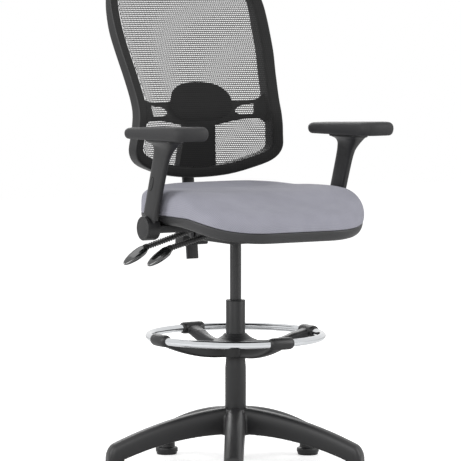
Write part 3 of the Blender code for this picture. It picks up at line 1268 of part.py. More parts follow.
def build_arm(side, tag):
    """side is -1 on the sitter's right and +1 on the left."""
    ear = ARM_EAR_X
    drum_in = ear + ARM_EAR_THICKNESS + GAP
    drum_out = drum_in + DRUM_LENGTH
    centre_x = (drum_in + drum_out) / 2
    fixed = empty(f"arm_{tag}_mount", (0, ARM_AXIS_Y, ARM_AXIS_Z), seat_frame)
    fold = empty(f"arm_{tag}_fold_frame", (0, ARM_AXIS_Y, ARM_AXIS_Z), seat_frame)
    slide = empty(f"arm_{tag}_height_frame", (side * centre_x, 0, 0), fold)

    top = -ARM_AXIS_Z - GAP
    outer = ear + ARM_EAR_THICKNESS
    arms = []
    for x, thickness, half in ((BRACKET_INNER_X, BRACKET_TIP, BRACKET_HALF_WIDTH - 0.003),
                               (BRACKET_INNER_X + 0.004, BRACKET_TIP, BRACKET_HALF_WIDTH),
                               (BRACKET_KNEE_X, BRACKET_THICKNESS, BRACKET_HALF_WIDTH),
                               (outer, BRACKET_THICKNESS, BRACKET_HALF_WIDTH)):
        low = top - thickness
        arms.append([(side * x, y, z) for y, z in ((-half, top), (half, top), (half, low + 0.003),
                                                   (half - 0.003, low), (0.003 - half, low),
                                                   (-half, low + 0.003))])
    bracket = piece(f"arm_bracket_{tag}", loft(arms), BLACK_STEEL, fixed)
    join(bracket, cylinder((side * ear, 0, 0), (side * outer, 0, 0), DRUM_RADIUS - 0.002, 24))
    cut(bracket, cylinder((side * (ear - 0.02), 0, 0), (side * (outer + 0.02), 0, 0),
                          PIVOT_RADIUS + GAP, 16))
    cut(bracket, block((0.02, 0.10, 0.05), (side * (ear - 0.01 - 0.0001), 0, top + 0.025)))

    pin = piece(f"arm_pivot_{tag}", cylinder((side * (ear - 0.004), 0, 0), (side * (drum_out + GAP + 0.001), 0, 0),
                                             PIVOT_RADIUS, 16), NYLON, fixed)
    join(pin, cylinder((side * (drum_out + GAP), 0, 0), (side * (drum_out + GAP + PIVOT_HEAD_THICKNESS), 0, 0),
                       DRUM_RADIUS, 24, DRUM_RADIUS - 0.0015))

    post = piece(f"arm_post_{tag}", cylinder((side * drum_in, 0, 0), (side * drum_out, 0, 0), DRUM_RADIUS, 24),
                 NYLON, fold)
    lean_y, lean_z = -math.sin(ARM_LEAN), math.cos(ARM_LEAN)
    join(post, loft([arm_ring(side * centre_x, lean_y * r, lean_z * r, POST_HALF_WIDTH, POST_HALF_LENGTH, ARM_LEAN)
                     for r in (0.010, POST_HEIGHT)]))
    cut(post, cylinder((side * (drum_in - 0.01), 0, 0), (side * (drum_out + 0.01), 0, 0), PIVOT_RADIUS + GAP, 16))

    grow = 0.002
    rings = []
    reach = ARM_TOP / math.cos(ARM_LEAN)
    for share, length, width, tip in (
            (0.0, SLEEVE_HALF_LENGTH, SLEEVE_HALF_WIDTH, 1.0),
            (0.45, SLEEVE_HALF_LENGTH + grow / 2, SLEEVE_HALF_WIDTH, 1.0),
            (0.80, SLEEVE_HALF_LENGTH + grow, SLEEVE_HALF_WIDTH + 0.0005, 1.0),
            (0.88, SLEEVE_HALF_LENGTH + 0.007, SLEEVE_HALF_WIDTH + 0.0020, 0.75),
            (0.94, SLEEVE_HALF_LENGTH + 0.017, SLEEVE_HALF_WIDTH + 0.0050, 0.4),
            (0.98, HEAD_HALF_LENGTH - 0.006, HEAD_HALF_WIDTH - 0.004, 0.1),
            (1.0, HEAD_HALF_LENGTH, HEAD_HALF_WIDTH, 0.0)):
        r = SLEEVE_FOOT + (reach - SLEEVE_FOOT) * share
        rings.append(arm_ring(0, lean_y * r, lean_z * r, width, length, ARM_LEAN * tip))
    sleeve = piece(f"arm_sleeve_{tag}", loft(rings), NYLON, slide)
    cut(sleeve, loft([arm_ring(0, lean_y * r, lean_z * r, POST_HALF_WIDTH + GAP, POST_HALF_LENGTH + GAP, ARM_LEAN)
                      for r in (SLEEVE_FOOT - 0.02, POST_HEIGHT + 0.004)]))
    button_pocket = loft(button_rings(side, -0.02, 0.02, GAP))
    cut(sleeve, button_pocket)
    button_frame = empty(f"arm_{tag}_button_frame", (0, 0, 0), slide)
    face = SLEEVE_HALF_WIDTH + 0.0008
    back = POST_HALF_WIDTH + GAP + 0.0022
    piece(f"arm_button_{tag}", loft(button_rings(side, back - face, 0.0, 0.0)), GLOSS_PLASTIC, button_frame)

    plate_low = ARM_TOP + GAP
    under = arm_ring(0, lean_y * reach, plate_low, HEAD_HALF_WIDTH + 0.001, HEAD_HALF_LENGTH + 0.001, 0.0, 0.35)
    over = [(x, y, z + PLATE_THICKNESS + pad_rise(y)) for x, y, z in under]
    piece(f"arm_plate_{tag}", loft([under, over]), NYLON, slide)
    build_pad(side, tag, slide, plate_low + PLATE_THICKNESS + GAP)


def pad_rise(y):
    """Climb of the pad's flat underside at y in the arm frame."""
    return PAD_RISE * (PAD_REAR - ARM_AXIS_Y - y) / (PAD_REAR - PAD_FRONT)


def button_rings(side, low, high, grow):
    """Oval button on the outer face of the sleeve, seen along X."""
    face = SLEEVE_HALF_WIDTH + 0.0008
    rings = []
    for depth in (low, high):
        ring = []
        for k in range(12):
            angle = 2 * math.pi * k / 12
            up = ARM_BUTTON_HEIGHT + (ARM_BUTTON_HALF_LENGTH + grow) * math.sin(angle)
            across = ARM_BUTTON_OFFSET + (ARM_BUTTON_HALF_WIDTH + grow) * math.cos(angle)
            ring.append((side * (face + depth), across * math.cos(ARM_LEAN) - up * math.sin(ARM_LEAN),
                         across * math.sin(ARM_LEAN) + up * math.cos(ARM_LEAN)))
        rings.append(ring)
    return rings


def build_pad(side, tag, frame, low):
    inner, outer = -side * PAD_HALF_WIDTH, side * PAD_HALF_WIDTH
    rear, front = PAD_REAR - ARM_AXIS_Y, PAD_FRONT - ARM_AXIS_Y
    radii = [PAD_CORNER, PAD_CORNER, PAD_CORNER, PAD_CORNER * 0.7]

    def ring(inset, share):
        sign = side
        shifted = [(inner + sign * inset, rear - inset), (outer - sign * inset, rear - inset),
                   (outer - sign * inset, front + PAD_SKEW + inset), (inner + sign * inset, front + inset)]
        outline = fillet_polygon(shifted, [max(r - inset, 0.004) for r in radii], 4)
        placed = []
        for x, y in outline:
            run = smooth_step(rear - y, 0.0, rear - front)
            thickness = PAD_THICKNESS + (PAD_FRONT_THICKNESS - PAD_THICKNESS) * run
            placed.append((x, y, low + pad_rise(y) + thickness * share))
        return placed

    piece(f"arm_pad_{tag}", loft([
        ring(PAD_EDGE, 0.0), ring(PAD_EDGE * 0.25, 0.15), ring(0.0, 0.45), ring(PAD_EDGE * 0.2, 0.78),
        ring(PAD_EDGE * 0.8, 0.96), ring(PAD_EDGE * 1.6, 1.0)]),
        SOFT_PAD, frame)


# --- Assembly --------------------------------------------------------------------------------
build_base()
build_column()
button_top = build_gas_cylinder()
build_foot_ring()
build_seat()
build_mechanism()
build_carrier()
build_levers(button_top)
build_back()
for arm_side, arm_tag in ((-1, "right"), (1, "left")):
    build_arm(arm_side, arm_tag)
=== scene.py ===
"""Looks of a drafting chair: moulded base and column, chromed foot ring, upholstered seat, mesh back."""

import json
import math

import bmesh
import bpy
import numpy as np
from mathutils import Matrix, Vector


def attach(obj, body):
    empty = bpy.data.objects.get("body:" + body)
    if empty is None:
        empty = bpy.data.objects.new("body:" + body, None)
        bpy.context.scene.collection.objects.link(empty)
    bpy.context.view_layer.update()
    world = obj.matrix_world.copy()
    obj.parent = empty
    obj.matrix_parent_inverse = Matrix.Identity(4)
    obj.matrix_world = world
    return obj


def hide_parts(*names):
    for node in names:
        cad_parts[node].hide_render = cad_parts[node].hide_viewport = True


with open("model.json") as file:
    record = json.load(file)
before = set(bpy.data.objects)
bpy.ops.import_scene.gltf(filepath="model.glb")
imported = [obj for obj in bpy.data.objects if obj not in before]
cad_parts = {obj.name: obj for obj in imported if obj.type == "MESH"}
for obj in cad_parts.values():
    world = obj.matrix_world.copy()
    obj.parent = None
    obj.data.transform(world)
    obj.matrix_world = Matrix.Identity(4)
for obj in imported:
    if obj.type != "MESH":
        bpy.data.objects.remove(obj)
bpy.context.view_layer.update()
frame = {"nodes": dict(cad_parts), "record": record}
NODES = frame["nodes"]
MM = 0.001
GAP = 0.0003                    # between pieces that touch

# --- Sizes, in metres ------------------------------------------------------------------------
# The star base and its glides.
LEG_COUNT = 5
LEG_HEADING = math.radians(32)
LEG_REACH = 0.3420
LEG_HALF_WIDTH = 0.0262
LEG_TOP = 0.1602
LEG_ROOT_UNDERSIDE = 0.093
LEG_TIP_DROP = 0.0897
LEG_TIP_RISE = 0.071
LEG_WALL = 0.0030
LEG_RIB = 0.003
HUB_TOP, HUB_BOTTOM, HUB_RADIUS = 0.1575, 0.0905, 0.0345
GLIDE_CIRCLE, GLIDE_RADIUS, GLIDE_NECK, GLIDE_SEAT = 0.318, 0.0294, 0.0212, 0.040

# The column: a stepped outer tube around the lift cylinder.
TUBE_TOP, TUBE_FOOT, TUBE_WALL = 0.435, 0.0935, 0.0025
TUBE_RADIUS, TUBE_FOOT_RADIUS = 0.0247, 0.0270
TUBE_TAPER_TOP, TUBE_TAPER_FOOT = 0.290, 0.262
CYLINDER_RADIUS, CYLINDER_FOOT = 0.0145, 0.225

# The foot ring and the spider that carries it.
RING_LEVEL, RING_RADIUS, RING_TUBE = 0.345, 0.222, 0.0096
RING_ARM_COUNT = 4
RING_HUB_DEPTH, RING_HUB_RISE, RING_HUB_RADIUS = 0.054, 0.007, 0.046
CLIP_RADIUS, CLIP_LENGTH = 0.0146, 0.067

# The seat; SEAT_LEVEL is the shell's underside.
SEAT_LEVEL = 0.6325
CYLINDER_TOP, SOCKET_DEPTH = SEAT_LEVEL - 0.026, 0.0245
SEAT_WIDTH, SEAT_FRONT, SEAT_BACK = 0.500, -0.329, 0.155
SEAT_CORNER, SEAT_FRONT_CORNER = 0.145, 0.165
SEAT_FALL_START, SEAT_FALL_END = -0.165, -0.345
SHELL_FLOOR_FALL, SHELL_RIM_FALL, SHELL_HEIGHT, SHELL_TUCK = 0.0285, 0.0335, 0.033, 0.010
SHELL_WALL, SHELL_FLOOR = 0.003, 0.003
CUSHION_HEIGHT, CUSHION_FRONT_FALL, CUSHION_ROUND = 0.066, 0.026, 0.032
CUSHION_LIP, CUSHION_BOLSTER, CUSHION_OVERHANG = 0.0125, 0.0070, 0.0034
CUSHION_SWELL = 0.003           # the most that pressure moves the cloth
SEAT_RINGS = (0.138, 0.110, 0.085, 0.050)   # insets of the inner rings, all within the corner radii
BOARD_INSET, BOARD_THICKNESS = 0.027, 0.012

# The back, measured in x and z from the lower middle of its frame.
BACK_ORIGIN = Vector((0.0, 0.1285, SEAT_LEVEL + 0.1085))
BACK_HALF_WIDTH, BACK_HEIGHT, BACK_HOLLOW = 0.2325, 0.527, 0.051
RIM_WIDTH, RIM_DEPTH, RIM_INNER_DEPTH, RIM_EDGE, RIM_WALL = 0.029, 0.040, 0.037, 0.0055, 0.003
RIM_TOP_TRIM, RIM_TRIM_START = 0.019, 0.36
BAR_LEAN, BAR_FOOT_Y, BAR_FOOT = math.radians(6.3), 0.219, -0.1065
BAR_WIDTH, BAR_THICKNESS, COVER_WALL = 0.033, 0.009, 0.0045
BRIDGE_SETBACK, BRIDGE_THICKNESS = 0.019, 0.007
SLOT_HEIGHT, SLOT_LEAN = 0.186, math.radians(17.5)      # the slot that the lumbar pad slides in
NET_PITCH_X, NET_PITCH_Z = 0.0056, 0.0051
NET_THREAD, NET_SWAY = 0.0017, 0.13      # sway is the share of a pitch that staggers the holes
SPINE_FOOT, SPINE_HEIGHT, SPINE_DEPTH = 0.012, 0.138, 0.029
SPINE_FOOT_HALF_WIDTH, SPINE_TAPER, SPINE_SETBACK = 0.058, 0.015, 0.0165
BOSS_HEIGHT, BOSS_SETBACK = 0.113, 0.0265
LUMBAR_HALF_WIDTH, LUMBAR_HEIGHT, LUMBAR_FOOT = 0.0925, 0.102, 0.146
LUMBAR_SETBACK, LUMBAR_DOME = 0.0060, 0.0075

# The armrests, measured from the axis that they fold about.
ARM_AXIS = Vector((0.0, -0.030, SEAT_LEVEL + 0.0015))
ARM_LEAN = math.radians(19.8)
ARM_EAR_X, ARM_EAR_THICKNESS = 0.254, 0.004
ARM_TOP, POST_HEIGHT, POST_HALF_WIDTH, POST_HALF_DEPTH = 0.219, 0.165, 0.0055, 0.021
ARM_X = 0.2723                  # middle of the stalk
STALK_FOOT, STALK_FACE = 0.036, 0.0103      # up the stalk, and out from its middle to its outer face
BUTTON_UP, BUTTON_ACROSS, BUTTON_HALF_LENGTH, BUTTON_HALF_WIDTH = 0.118, 0.008, 0.017, 0.0055
DRUM_RADIUS, DRUM_LENGTH, CAP_THICKNESS = 0.0305, 0.028, 0.004
BRACKET_START, BRACKET_HALF_WIDTH, BRACKET_THICKNESS, BRACKET_GAIN = 0.115, 0.026, 0.007, 0.012
PAD_HALF_WIDTH, PAD_REAR, PAD_FRONT, PAD_SKEW, PAD_RISE = 0.049, 0.062, -0.238, 0.006, 0.004
PAD_THICKNESS, PAD_GAIN, PLATE_THICKNESS = 0.0285, 0.0070, 0.004
BRACKET_LIFT = 0.009            # how far bracket and shell climb towards the sides

# The two levers, from the pin that they turn on.
LEVER_X, LEVER_Z = -0.052, SEAT_LEVEL - 0.0145
GRIP_SLOPE, GRIP_TWIST = math.radians(32), math.radians(33)
GRIP_LENGTH, GRIP_BREADTH, GRIP_THICKNESS = 0.080, 0.0300, 0.0224

# The back frame's outline as shares of half width and height, up one side from the lower middle.
BACK_OUTLINE = [(0.0, 0.0), (0.36, 0.011), (0.66, 0.045), (0.862, 0.084), (0.951, 0.141),
                (0.940, 0.226), (0.915, 0.359), (0.940, 0.491), (0.981, 0.624), (1.0, 0.757),
                (0.985, 0.871), (0.910, 0.956), (0.660, 0.989), (0.0, 1.0)]
# Its side view: share of the height, and metres behind the lower end.
BACK_PROFILE = [(0.0, 0.0), (0.133, -0.0085), (0.281, -0.0200), (0.38, -0.009), (0.577, 0.0400),
                (0.725, 0.0800), (0.871, 0.1125), (1.0, 0.1355)]


# --- Small tools -----------------------------------------------------------------------------
def linear(hex_colour):
    """sRGB hex string to a linear RGBA tuple."""
    values = [int(hex_colour[i:i + 2], 16) / 255 for i in (0, 2, 4)]
    return tuple(v / 12.92 if v <= 0.04045 else ((v + 0.055) / 1.055) ** 2.4 for v in values) + (1.0,)


def smooth_step(value, start, end):
    """0 before start, 1 past end, and a soft rise between."""
    share = min(max((value - start) / (end - start), 0.0), 1.0)
    return share * share * (3 - 2 * share)


def smooth_curve(points, steps, closed=False):
    """Catmull-Rom curve through points."""
    count = len(points)
    found = []
    for i in range(count if closed else count - 1):
        near = [points[(i + k) % count if closed else min(max(i + k, 0), count - 1)]
                for k in (-1, 0, 1, 2)]
        before, start, end, after = (np.array(point, dtype=float) for point in near)
        for k in range(steps):
            t = k / steps
            found.append(0.5 * (2 * start + (end - before) * t
                                + (2 * before - 5 * start + 4 * end - after) * t * t
                                + (3 * start - before - 3 * end + after) * t ** 3))
    if not closed:
        found.append(np.array(points[-1], dtype=float))
    return found


def rounded(corners, radius, steps=4, closed=True):
    """Polygon or polyline in a plane with its corners rounded; radius may be one for each corner."""
    count = len(corners)
    radii = radius if isinstance(radius, (list, tuple)) else [radius] * count
    outline = []
    for i, corner in enumerate(corners):
        here = Vector(corner)
        if radii[i] <= 0 or (not closed and i in (0, count - 1)):
            outline.append(tuple(here))
            continue
        before, after = Vector(corners[i - 1]) - here, Vector(corners[(i + 1) % count]) - here
        reach = min(radii[i], before.length * 0.49, after.length * 0.49)
        first, last = here + before.normalized() * reach, here + after.normalized() * reach
        for k in range(steps + 1):
            t = k / steps
            outline.append(tuple(first * (1 - t) ** 2 + here * 2 * t * (1 - t) + last * t * t))
    return outline


def superellipse(half_x, half_y, points, power):
    """Closed outline between an ellipse (power 1) and a box (power 0)."""
    outline = []
    for k in range(points):
        angle = 2 * math.pi * (k + 0.5) / points
        c, s = math.cos(angle), math.sin(angle)
        outline.append((half_x * abs(c) ** power * math.copysign(1, c),
                        half_y * abs(s) ** power * math.copysign(1, s)))
    return outline


# --- Modelling tools -------------------------------------------------------------------------
def skin(rings, closed=False):
    """A grid laid through rings of equally many points; its ends are capped unless it closes."""
    around, along = len(rings[0]), len(rings) if closed else len(rings) - 1
    shape = bmesh.new()
    bmesh.ops.create_grid(shape, x_segments=around, y_segments=along, size=1.0)
    for vertex in shape.verts:
        i = round((vertex.co.x + 1) / 2 * around) % around
        j = round((vertex.co.y + 1) / 2 * along) % len(rings)
        vertex.co = rings[j][i]
    bmesh.ops.remove_doubles(shape, verts=shape.verts, dist=0.000001)
    if not closed:
        bmesh.ops.holes_fill(shape, edges=[e for e in shape.edges if e.is_boundary], sides=0)
    bmesh.ops.recalc_face_normals(shape, faces=shape.faces)
    return shape


def turned(profile, steps=96, centre=(0.0, 0.0, 0.0), corner=0.0008):
    """Spin a (radius, height) outline about an upright axis; its corners get a small radius."""
    shape = bmesh.new()
    points = rounded(profile, corner, 3, closed=profile[0][0] > 0)
    line = [shape.verts.new((radius, 0, height)) for radius, height in points]
    edges = [shape.edges.new(pair) for pair in zip(line, line[1:])]
    if profile[0][0] > 0:
        edges.append(shape.edges.new((line[-1], line[0])))
    bmesh.ops.spin(shape, geom=line + edges, cent=(0, 0, 0), axis=(0, 0, 1), angle=2 * math.pi,
                   steps=steps, use_merge=True)
    bmesh.ops.remove_doubles(shape, verts=shape.verts, dist=0.000001)
    bmesh.ops.recalc_face_normals(shape, faces=shape.faces)
    bmesh.ops.translate(shape, verts=shape.verts, vec=centre)
    return shape


def rod(start, end, radius, sides=48, end_radius=None):
    """A round bar between two points."""
    start, end = Vector(start), Vector(end)
    shape = bmesh.new()
    turn = Vector((0, 0, 1)).rotation_difference(end - start).to_matrix().to_4x4()
    bmesh.ops.create_cone(shape, cap_ends=True, segments=sides, radius1=radius,
                          radius2=radius if end_radius is None else end_radius,
                          depth=(end - start).length,
                          matrix=Matrix.Translation((start + end) / 2) @ turn)
    return shape


def pipe(points, sizes, sides=32, power=1.0, across=(0, 1, 0)):
    """A bar along points; each station has its half sizes across and up."""
    rings = []
    across = Vector(across)
    for k, point in enumerate(points):
        ahead = Vector(points[min(k + 1, len(points) - 1)]) - Vector(points[max(k - 1, 0)])
        up = across.cross(ahead.normalized()).normalized()
        rings.append([Vector(point) + across * x + up * z
                      for x, z in superellipse(*sizes[k], sides, power)])
    return skin(rings)


def block(size, centre, edge):
    """A box of full size at a centre, its edges rounded."""
    shape = bmesh.new()
    bmesh.ops.create_cube(shape, size=1.0)
    bmesh.ops.scale(shape, vec=size, verts=shape.verts)
    bmesh.ops.bevel(shape, geom=shape.edges, offset=edge, segments=3, profile=0.5,
                    affect="EDGES", material=-1)
    return moved(shape, centre)


def merged(*shapes):
    """One bmesh that holds several."""
    whole = bmesh.new()
    for shape in shapes:
        mesh = bpy.data.meshes.new("part")
        shape.to_mesh(mesh)
        shape.free()
        whole.from_mesh(mesh)
        bpy.data.meshes.remove(mesh)
    return whole


def moved(shape, offset):
    """The same bmesh, shifted."""
    bmesh.ops.translate(shape, verts=shape.verts, vec=offset)
    return shape


def spun(shape, angle, axis="Z"):
    """The same bmesh, turned about an axis through the origin."""
    bmesh.ops.rotate(shape, verts=shape.verts, matrix=Matrix.Rotation(angle, 3, axis))
    return shape


def welded_copy(node_name):
    """The solid of a CAD node with its triangles joined back into flat faces."""
    shape = bmesh.new()
    shape.from_mesh(NODES[node_name].data)
    bmesh.ops.remove_doubles(shape, verts=shape.verts, dist=0.00001)
    bmesh.ops.dissolve_limit(shape, angle_limit=math.radians(0.5), verts=shape.verts, edges=shape.edges)
    return shape


def temporary(name, shape):
    """A helper object for modifiers; it is removed once they are applied."""
    mesh = bpy.data.meshes.new(name)
    shape.to_mesh(mesh)
    shape.free()
    item = bpy.data.objects.new(name, mesh)
    bpy.context.scene.collection.objects.link(item)
    return item


def applied(item):
    """The object's mesh with its modifiers in it, as a bmesh; the object is removed."""
    graph = bpy.context.evaluated_depsgraph_get()
    mesh = bpy.data.meshes.new_from_object(item.evaluated_get(graph))
    shape = bmesh.new()
    shape.from_mesh(mesh)
    bpy.data.meshes.remove(mesh)
    bpy.data.objects.remove(item)
    return shape


def fused(shape, voxel, smoothing, cutters=()):
    """Overlapping solids moulded into one with soft blends, then cut."""
    item = temporary("fused", shape)
    remesh = item.modifiers.new("remesh", "REMESH")
    remesh.mode = "VOXEL"
    remesh.voxel_size = voxel
    soften = item.modifiers.new("soften", "SMOOTH")
    soften.factor = 0.5
    soften.iterations = smoothing
    return carved(item, *cutters)


def carved(item, *cutters):
    """Cut shapes out of a helper object or a bmesh."""
    if isinstance(item, bmesh.types.BMesh):
        item = temporary("carved", item)
    helpers = []
    for cutter in cutters:
        helper = temporary("cutter", cutter)
        hollow = item.modifiers.new("hollow", "BOOLEAN")
        hollow.operation = "DIFFERENCE"
        hollow.solver = "EXACT"
        hollow.object = helper
        helpers.append(helper)
    shape = applied(item)
    for helper in helpers:
        bpy.data.objects.remove(helper)
    return shape


def piece(name, shape, body, finish, replaces=(), sharp=35, bevel=0.0, subdivide=0):
    """A finished object of the chair that rides on a body and stands for CAD nodes."""
    mesh = bpy.data.meshes.new(name)
    shape.to_mesh(mesh)
    shape.free()
    mesh.shade_smooth()
    mesh.set_sharp_from_angle(angle=math.radians(sharp))
    mesh.materials.append(finish)
    item = bpy.data.objects.new(name, mesh)
    bpy.context.scene.collection.objects.link(item)
    if bevel:
        edge = item.modifiers.new("edge_radius", "BEVEL")
        edge.width = bevel
        edge.segments = 2
        edge.limit_method = "ANGLE"
        edge.angle_limit = math.radians(sharp)
        edge.harden_normals = True
    if subdivide:
        finer = item.modifiers.new("finer", "SUBSURF")
        finer.levels = subdivide
        finer.render_levels = subdivide
    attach(item, body)
    if replaces:
        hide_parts(*replaces)
    return item


# --- Shader tools ----------------------------------------------------------------------------
def feed(tree, target, inputs):
    """Give a node its inputs: a number or a colour is set, another node's output is linked."""
    for name, value in inputs.items():
        if isinstance(value, bpy.types.NodeSocket):
            tree.links.new(value, target.inputs[name])
        else:
            target.inputs[name].default_value = value


def node(tree, kind, inputs=None, **settings):
    """Add a shader node with its settings and inputs."""
    made = tree.nodes.new(kind)
    for name, value in settings.items():
        setattr(made, name, value)
    feed(tree, made, inputs or {})
    return made


def material(name, colour, **sockets):
    """A Principled material with its colour and plain sockets set."""
    made = bpy.data.materials.new(name)
    made.use_nodes = True
    tree = made.node_tree
    shader = tree.nodes["Principled BSDF"]
    plain = {socket.replace("_", " "): value for socket, value in sockets.items()}
    feed(tree, shader, {"Base Color": linear(colour), **plain})
    return made, tree, shader


def band_scale(pitch_mm):
    """Scale of a wave texture whose bands lie a pitch apart; it runs through 20 radians a metre."""
    return 2 * math.pi / 20 / (pitch_mm * MM)


# --- Finishes --------------------------------------------------------------------------------
def moulded(name, colour, light, roughness, grain_mm, depth_mm, specular=0.5, **sockets):
    """Plastic or rubber out of a tool, or baked paint: fine even grain, faint cloudiness."""
    made, tree, shader = material(name, colour, Specular_IOR_Level=specular, IOR=1.5, **sockets)
    place = node(tree, "ShaderNodeTexCoord").outputs["Object"]
    grain = node(tree, "ShaderNodeTexNoise", {"Vector": place, "Scale": 1 / (grain_mm * MM),
                                              "Detail": 2.0}).outputs["Fac"]
    cloud = node(tree, "ShaderNodeTexNoise", {"Vector": place, "Scale": 14.0, "Detail": 3.0})
    tint = node(tree, "ShaderNodeMix", {0: cloud.outputs["Fac"], 6: linear(colour), 7: linear(light)},
                data_type="RGBA")
    polish = node(tree, "ShaderNodeMapRange", {"Value": grain, "From Min": 0.3, "From Max": 0.7,
                                               "To Min": roughness - 0.05, "To Max": roughness + 0.07})
    relief = node(tree, "ShaderNodeBump", {"Height": grain, "Strength": 0.35, "Distance": depth_mm * MM})
    feed(tree, shader, {"Base Color": tint.outputs[2], "Roughness": polish.outputs["Result"],
                        "Normal": relief.outputs["Normal"]})
    return made


# Glass-filled nylon, injection moulded: near black and satin, with a soft broad light along each edge.
NYLON = moulded("glass_filled_nylon", "19191a", "1e1e1f", 0.42, 0.9, 0.05, 0.38)
# Polypropylene, injection moulded with a fine grain: black, and duller than the nylon.
POLYPROPYLENE = moulded("polypropylene_fine_grain", "141415", "181819", 0.50, 0.8, 0.06, 0.35)
# The same plastic in charcoal grey, so that the shell reads apart from the black parts.
SHELL_PLASTIC = moulded("polypropylene_shell", "272728", "2b2b2c", 0.48, 0.9, 0.06, 0.4)
# Polyurethane foam moulded with its own skin: charcoal, soft and almost without a highlight.
PAD_SKIN = moulded("polyurethane_integral_skin", "272728", "2c2c2d", 0.60, 1.4, 0.04, 0.25)
# Soft rubber, moulded: the deepest black and dry.
RUBBER = moulded("soft_rubber", "121212", "171717", 0.62, 1.0, 0.05, 0.35)
# Ribbed rubber, moulded: greyer, with a small light on every rib.
BELLOWS_RUBBER = moulded("ribbed_rubber", "1d1d1e", "242425", 0.40, 1.0, 0.03, 0.5)
# Powder coat baked on steel: a very fine orange peel that breaks the reflections up.
POWDER_COAT = moulded("black_powder_coat", "1a1a1b", "1f1f20", 0.45, 1.2, 0.04, 0.4)
# Nylon moulded in a polished tool: black with sharp white reflections of the lamps.
GLOSS_NYLON = moulded("polished_nylon_grip", "0d0f0f", "121414", 0.12, 3.0, 0.01, 1.0,
                      Coat_Weight=0.7, Coat_Roughness=0.06)
# Enamel on the turned steel cylinder: smoother than powder coat, one clear line of light.
SATIN_BLACK = moulded("satin_black_enamel", "1a1a1b", "1f1f20", 0.32, 2.2, 0.02, 0.5)


def plated(name, colour, dull, roughness, cloud_mm, depth_mm):
    """Bare or plated metal: clear reflections with soft, slow clouds where the polish is thinner."""
    made, tree, shader = material(name, colour, Metallic=1.0)
    place = node(tree, "ShaderNodeTexCoord").outputs["Object"]
    cloud = node(tree, "ShaderNodeTexNoise", {"Vector": place, "Scale": 1 / (cloud_mm * MM),
                                              "Detail": 3.0}).outputs["Fac"]
    tint = node(tree, "ShaderNodeMix", {0: cloud, 6: linear(dull), 7: linear(colour)}, data_type="RGBA")
    polish = node(tree, "ShaderNodeMapRange", {"Value": cloud, "From Min": 0.3, "From Max": 0.7,
                                               "To Min": roughness * 1.3, "To Max": roughness * 0.8})
    relief = node(tree, "ShaderNodeBump", {"Height": cloud, "Strength": 0.2, "Distance": depth_mm * MM})
    feed(tree, shader, {"Base Color": tint.outputs[2], "Roughness": polish.outputs["Result"],
                        "Normal": relief.outputs["Normal"]})
    return made


# Chrome plate on a bent steel tube: a mirror with hard dark and white bands.
CHROME = plated("chrome_plate", "d6d8da", "cdcfd2", 0.08, 16.0, 0.05)
# Bright zinc plate on bolts and clips: pale grey, blurred and slightly patchy.
ZINC_STEEL = plated("bright_zinc_steel", "a9abb0", "8f9196", 0.30, 2.5, 0.03)
# Oil-blacked steel on the pins: dark, with a blurred metallic light.
OILED_STEEL = plated("oil_blacked_steel", "2b2b2d", "222224", 0.38, 1.5, 0.02)


def birch_ply():
    """Birch plywood: long pale grain on the face, darker glue lines down the edge, drawn 3 mm apart."""
    made, tree, shader = material("birch_plywood", "b08d62", Roughness=0.6, Specular_IOR_Level=0.3)
    place = node(tree, "ShaderNodeTexCoord").outputs["Object"]
    along = node(tree, "ShaderNodeMapping", {"Vector": place, "Scale": (1.0, 14.0, 1.0)})
    grain = node(tree, "ShaderNodeTexNoise", {"Vector": along.outputs["Vector"], "Scale": 28.0,
                                              "Detail": 5.0})
    plies = node(tree, "ShaderNodeTexWave", {"Vector": place, "Scale": band_scale(2.96),
                                             "Distortion": 0.3}, bands_direction="Z")
    tone = node(tree, "ShaderNodeMath", {0: grain.outputs["Fac"], 1: plies.outputs["Fac"]},
                operation="MULTIPLY")
    tint = node(tree, "ShaderNodeMix", {0: tone.outputs[0], 6: linear("8a6a44"), 7: linear("c8a87c")},
                data_type="RGBA")
    feed(tree, shader, {"Base Color": tint.outputs[2]})
    return made


PLYWOOD = birch_ply()


def knitted(name, colour, light, pitch_mm, depth_mm, lines=False):
    """Black polyester yarn or a ribbed moulding: dots or level lines a pitch apart, dull and dry."""
    made, tree, shader = material(name, colour, Roughness=0.72, Specular_IOR_Level=0.2)
    place = node(tree, "ShaderNodeTexCoord").outputs["Object"]
    bands = {"Vector": place, "Scale": band_scale(pitch_mm)}
    height = node(tree, "ShaderNodeTexWave", bands, bands_direction="Z").outputs["Fac"]
    if not lines:
        columns = node(tree, "ShaderNodeTexWave", bands, bands_direction="X").outputs["Fac"]
        height = node(tree, "ShaderNodeMath", {0: height, 1: columns}, operation="MULTIPLY").outputs[0]
    cloud = node(tree, "ShaderNodeTexNoise", {"Vector": place, "Scale": 60.0, "Detail": 3.0})
    tone = node(tree, "ShaderNodeMath", {0: height, 1: cloud.outputs["Fac"]}, operation="MULTIPLY")
    tint = node(tree, "ShaderNodeMix", {0: tone.outputs[0], 6: linear(colour), 7: linear(light)},
                data_type="RGBA")
    relief = node(tree, "ShaderNodeBump", {"Height": height, "Strength": 0.6, "Distance": depth_mm * MM})
    feed(tree, shader, {"Base Color": tint.outputs[2], "Normal": relief.outputs["Normal"]})
    return made


# Polyester yarn, knitted into the net: black, with a faint bead along each thread.
MESH_THREAD = knitted("polyester_mesh_thread", "1c1c1c", "292929", 1.58, 0.15)
# The same yarn in the closed hem, its stitches drawn at 4.7 mm so that they show.
KNITTED_HEM = knitted("knitted_polyester_hem", "171717", "2d2d2d", 4.74, 0.4)
# Polypropylene moulded with level ribs: the darkest part behind the net, faintly lined.
RIBBED_SUPPORT = knitted("ribbed_polypropylene", "0f0f10", "1b1b1c", 8.29, 0.5, lines=True)


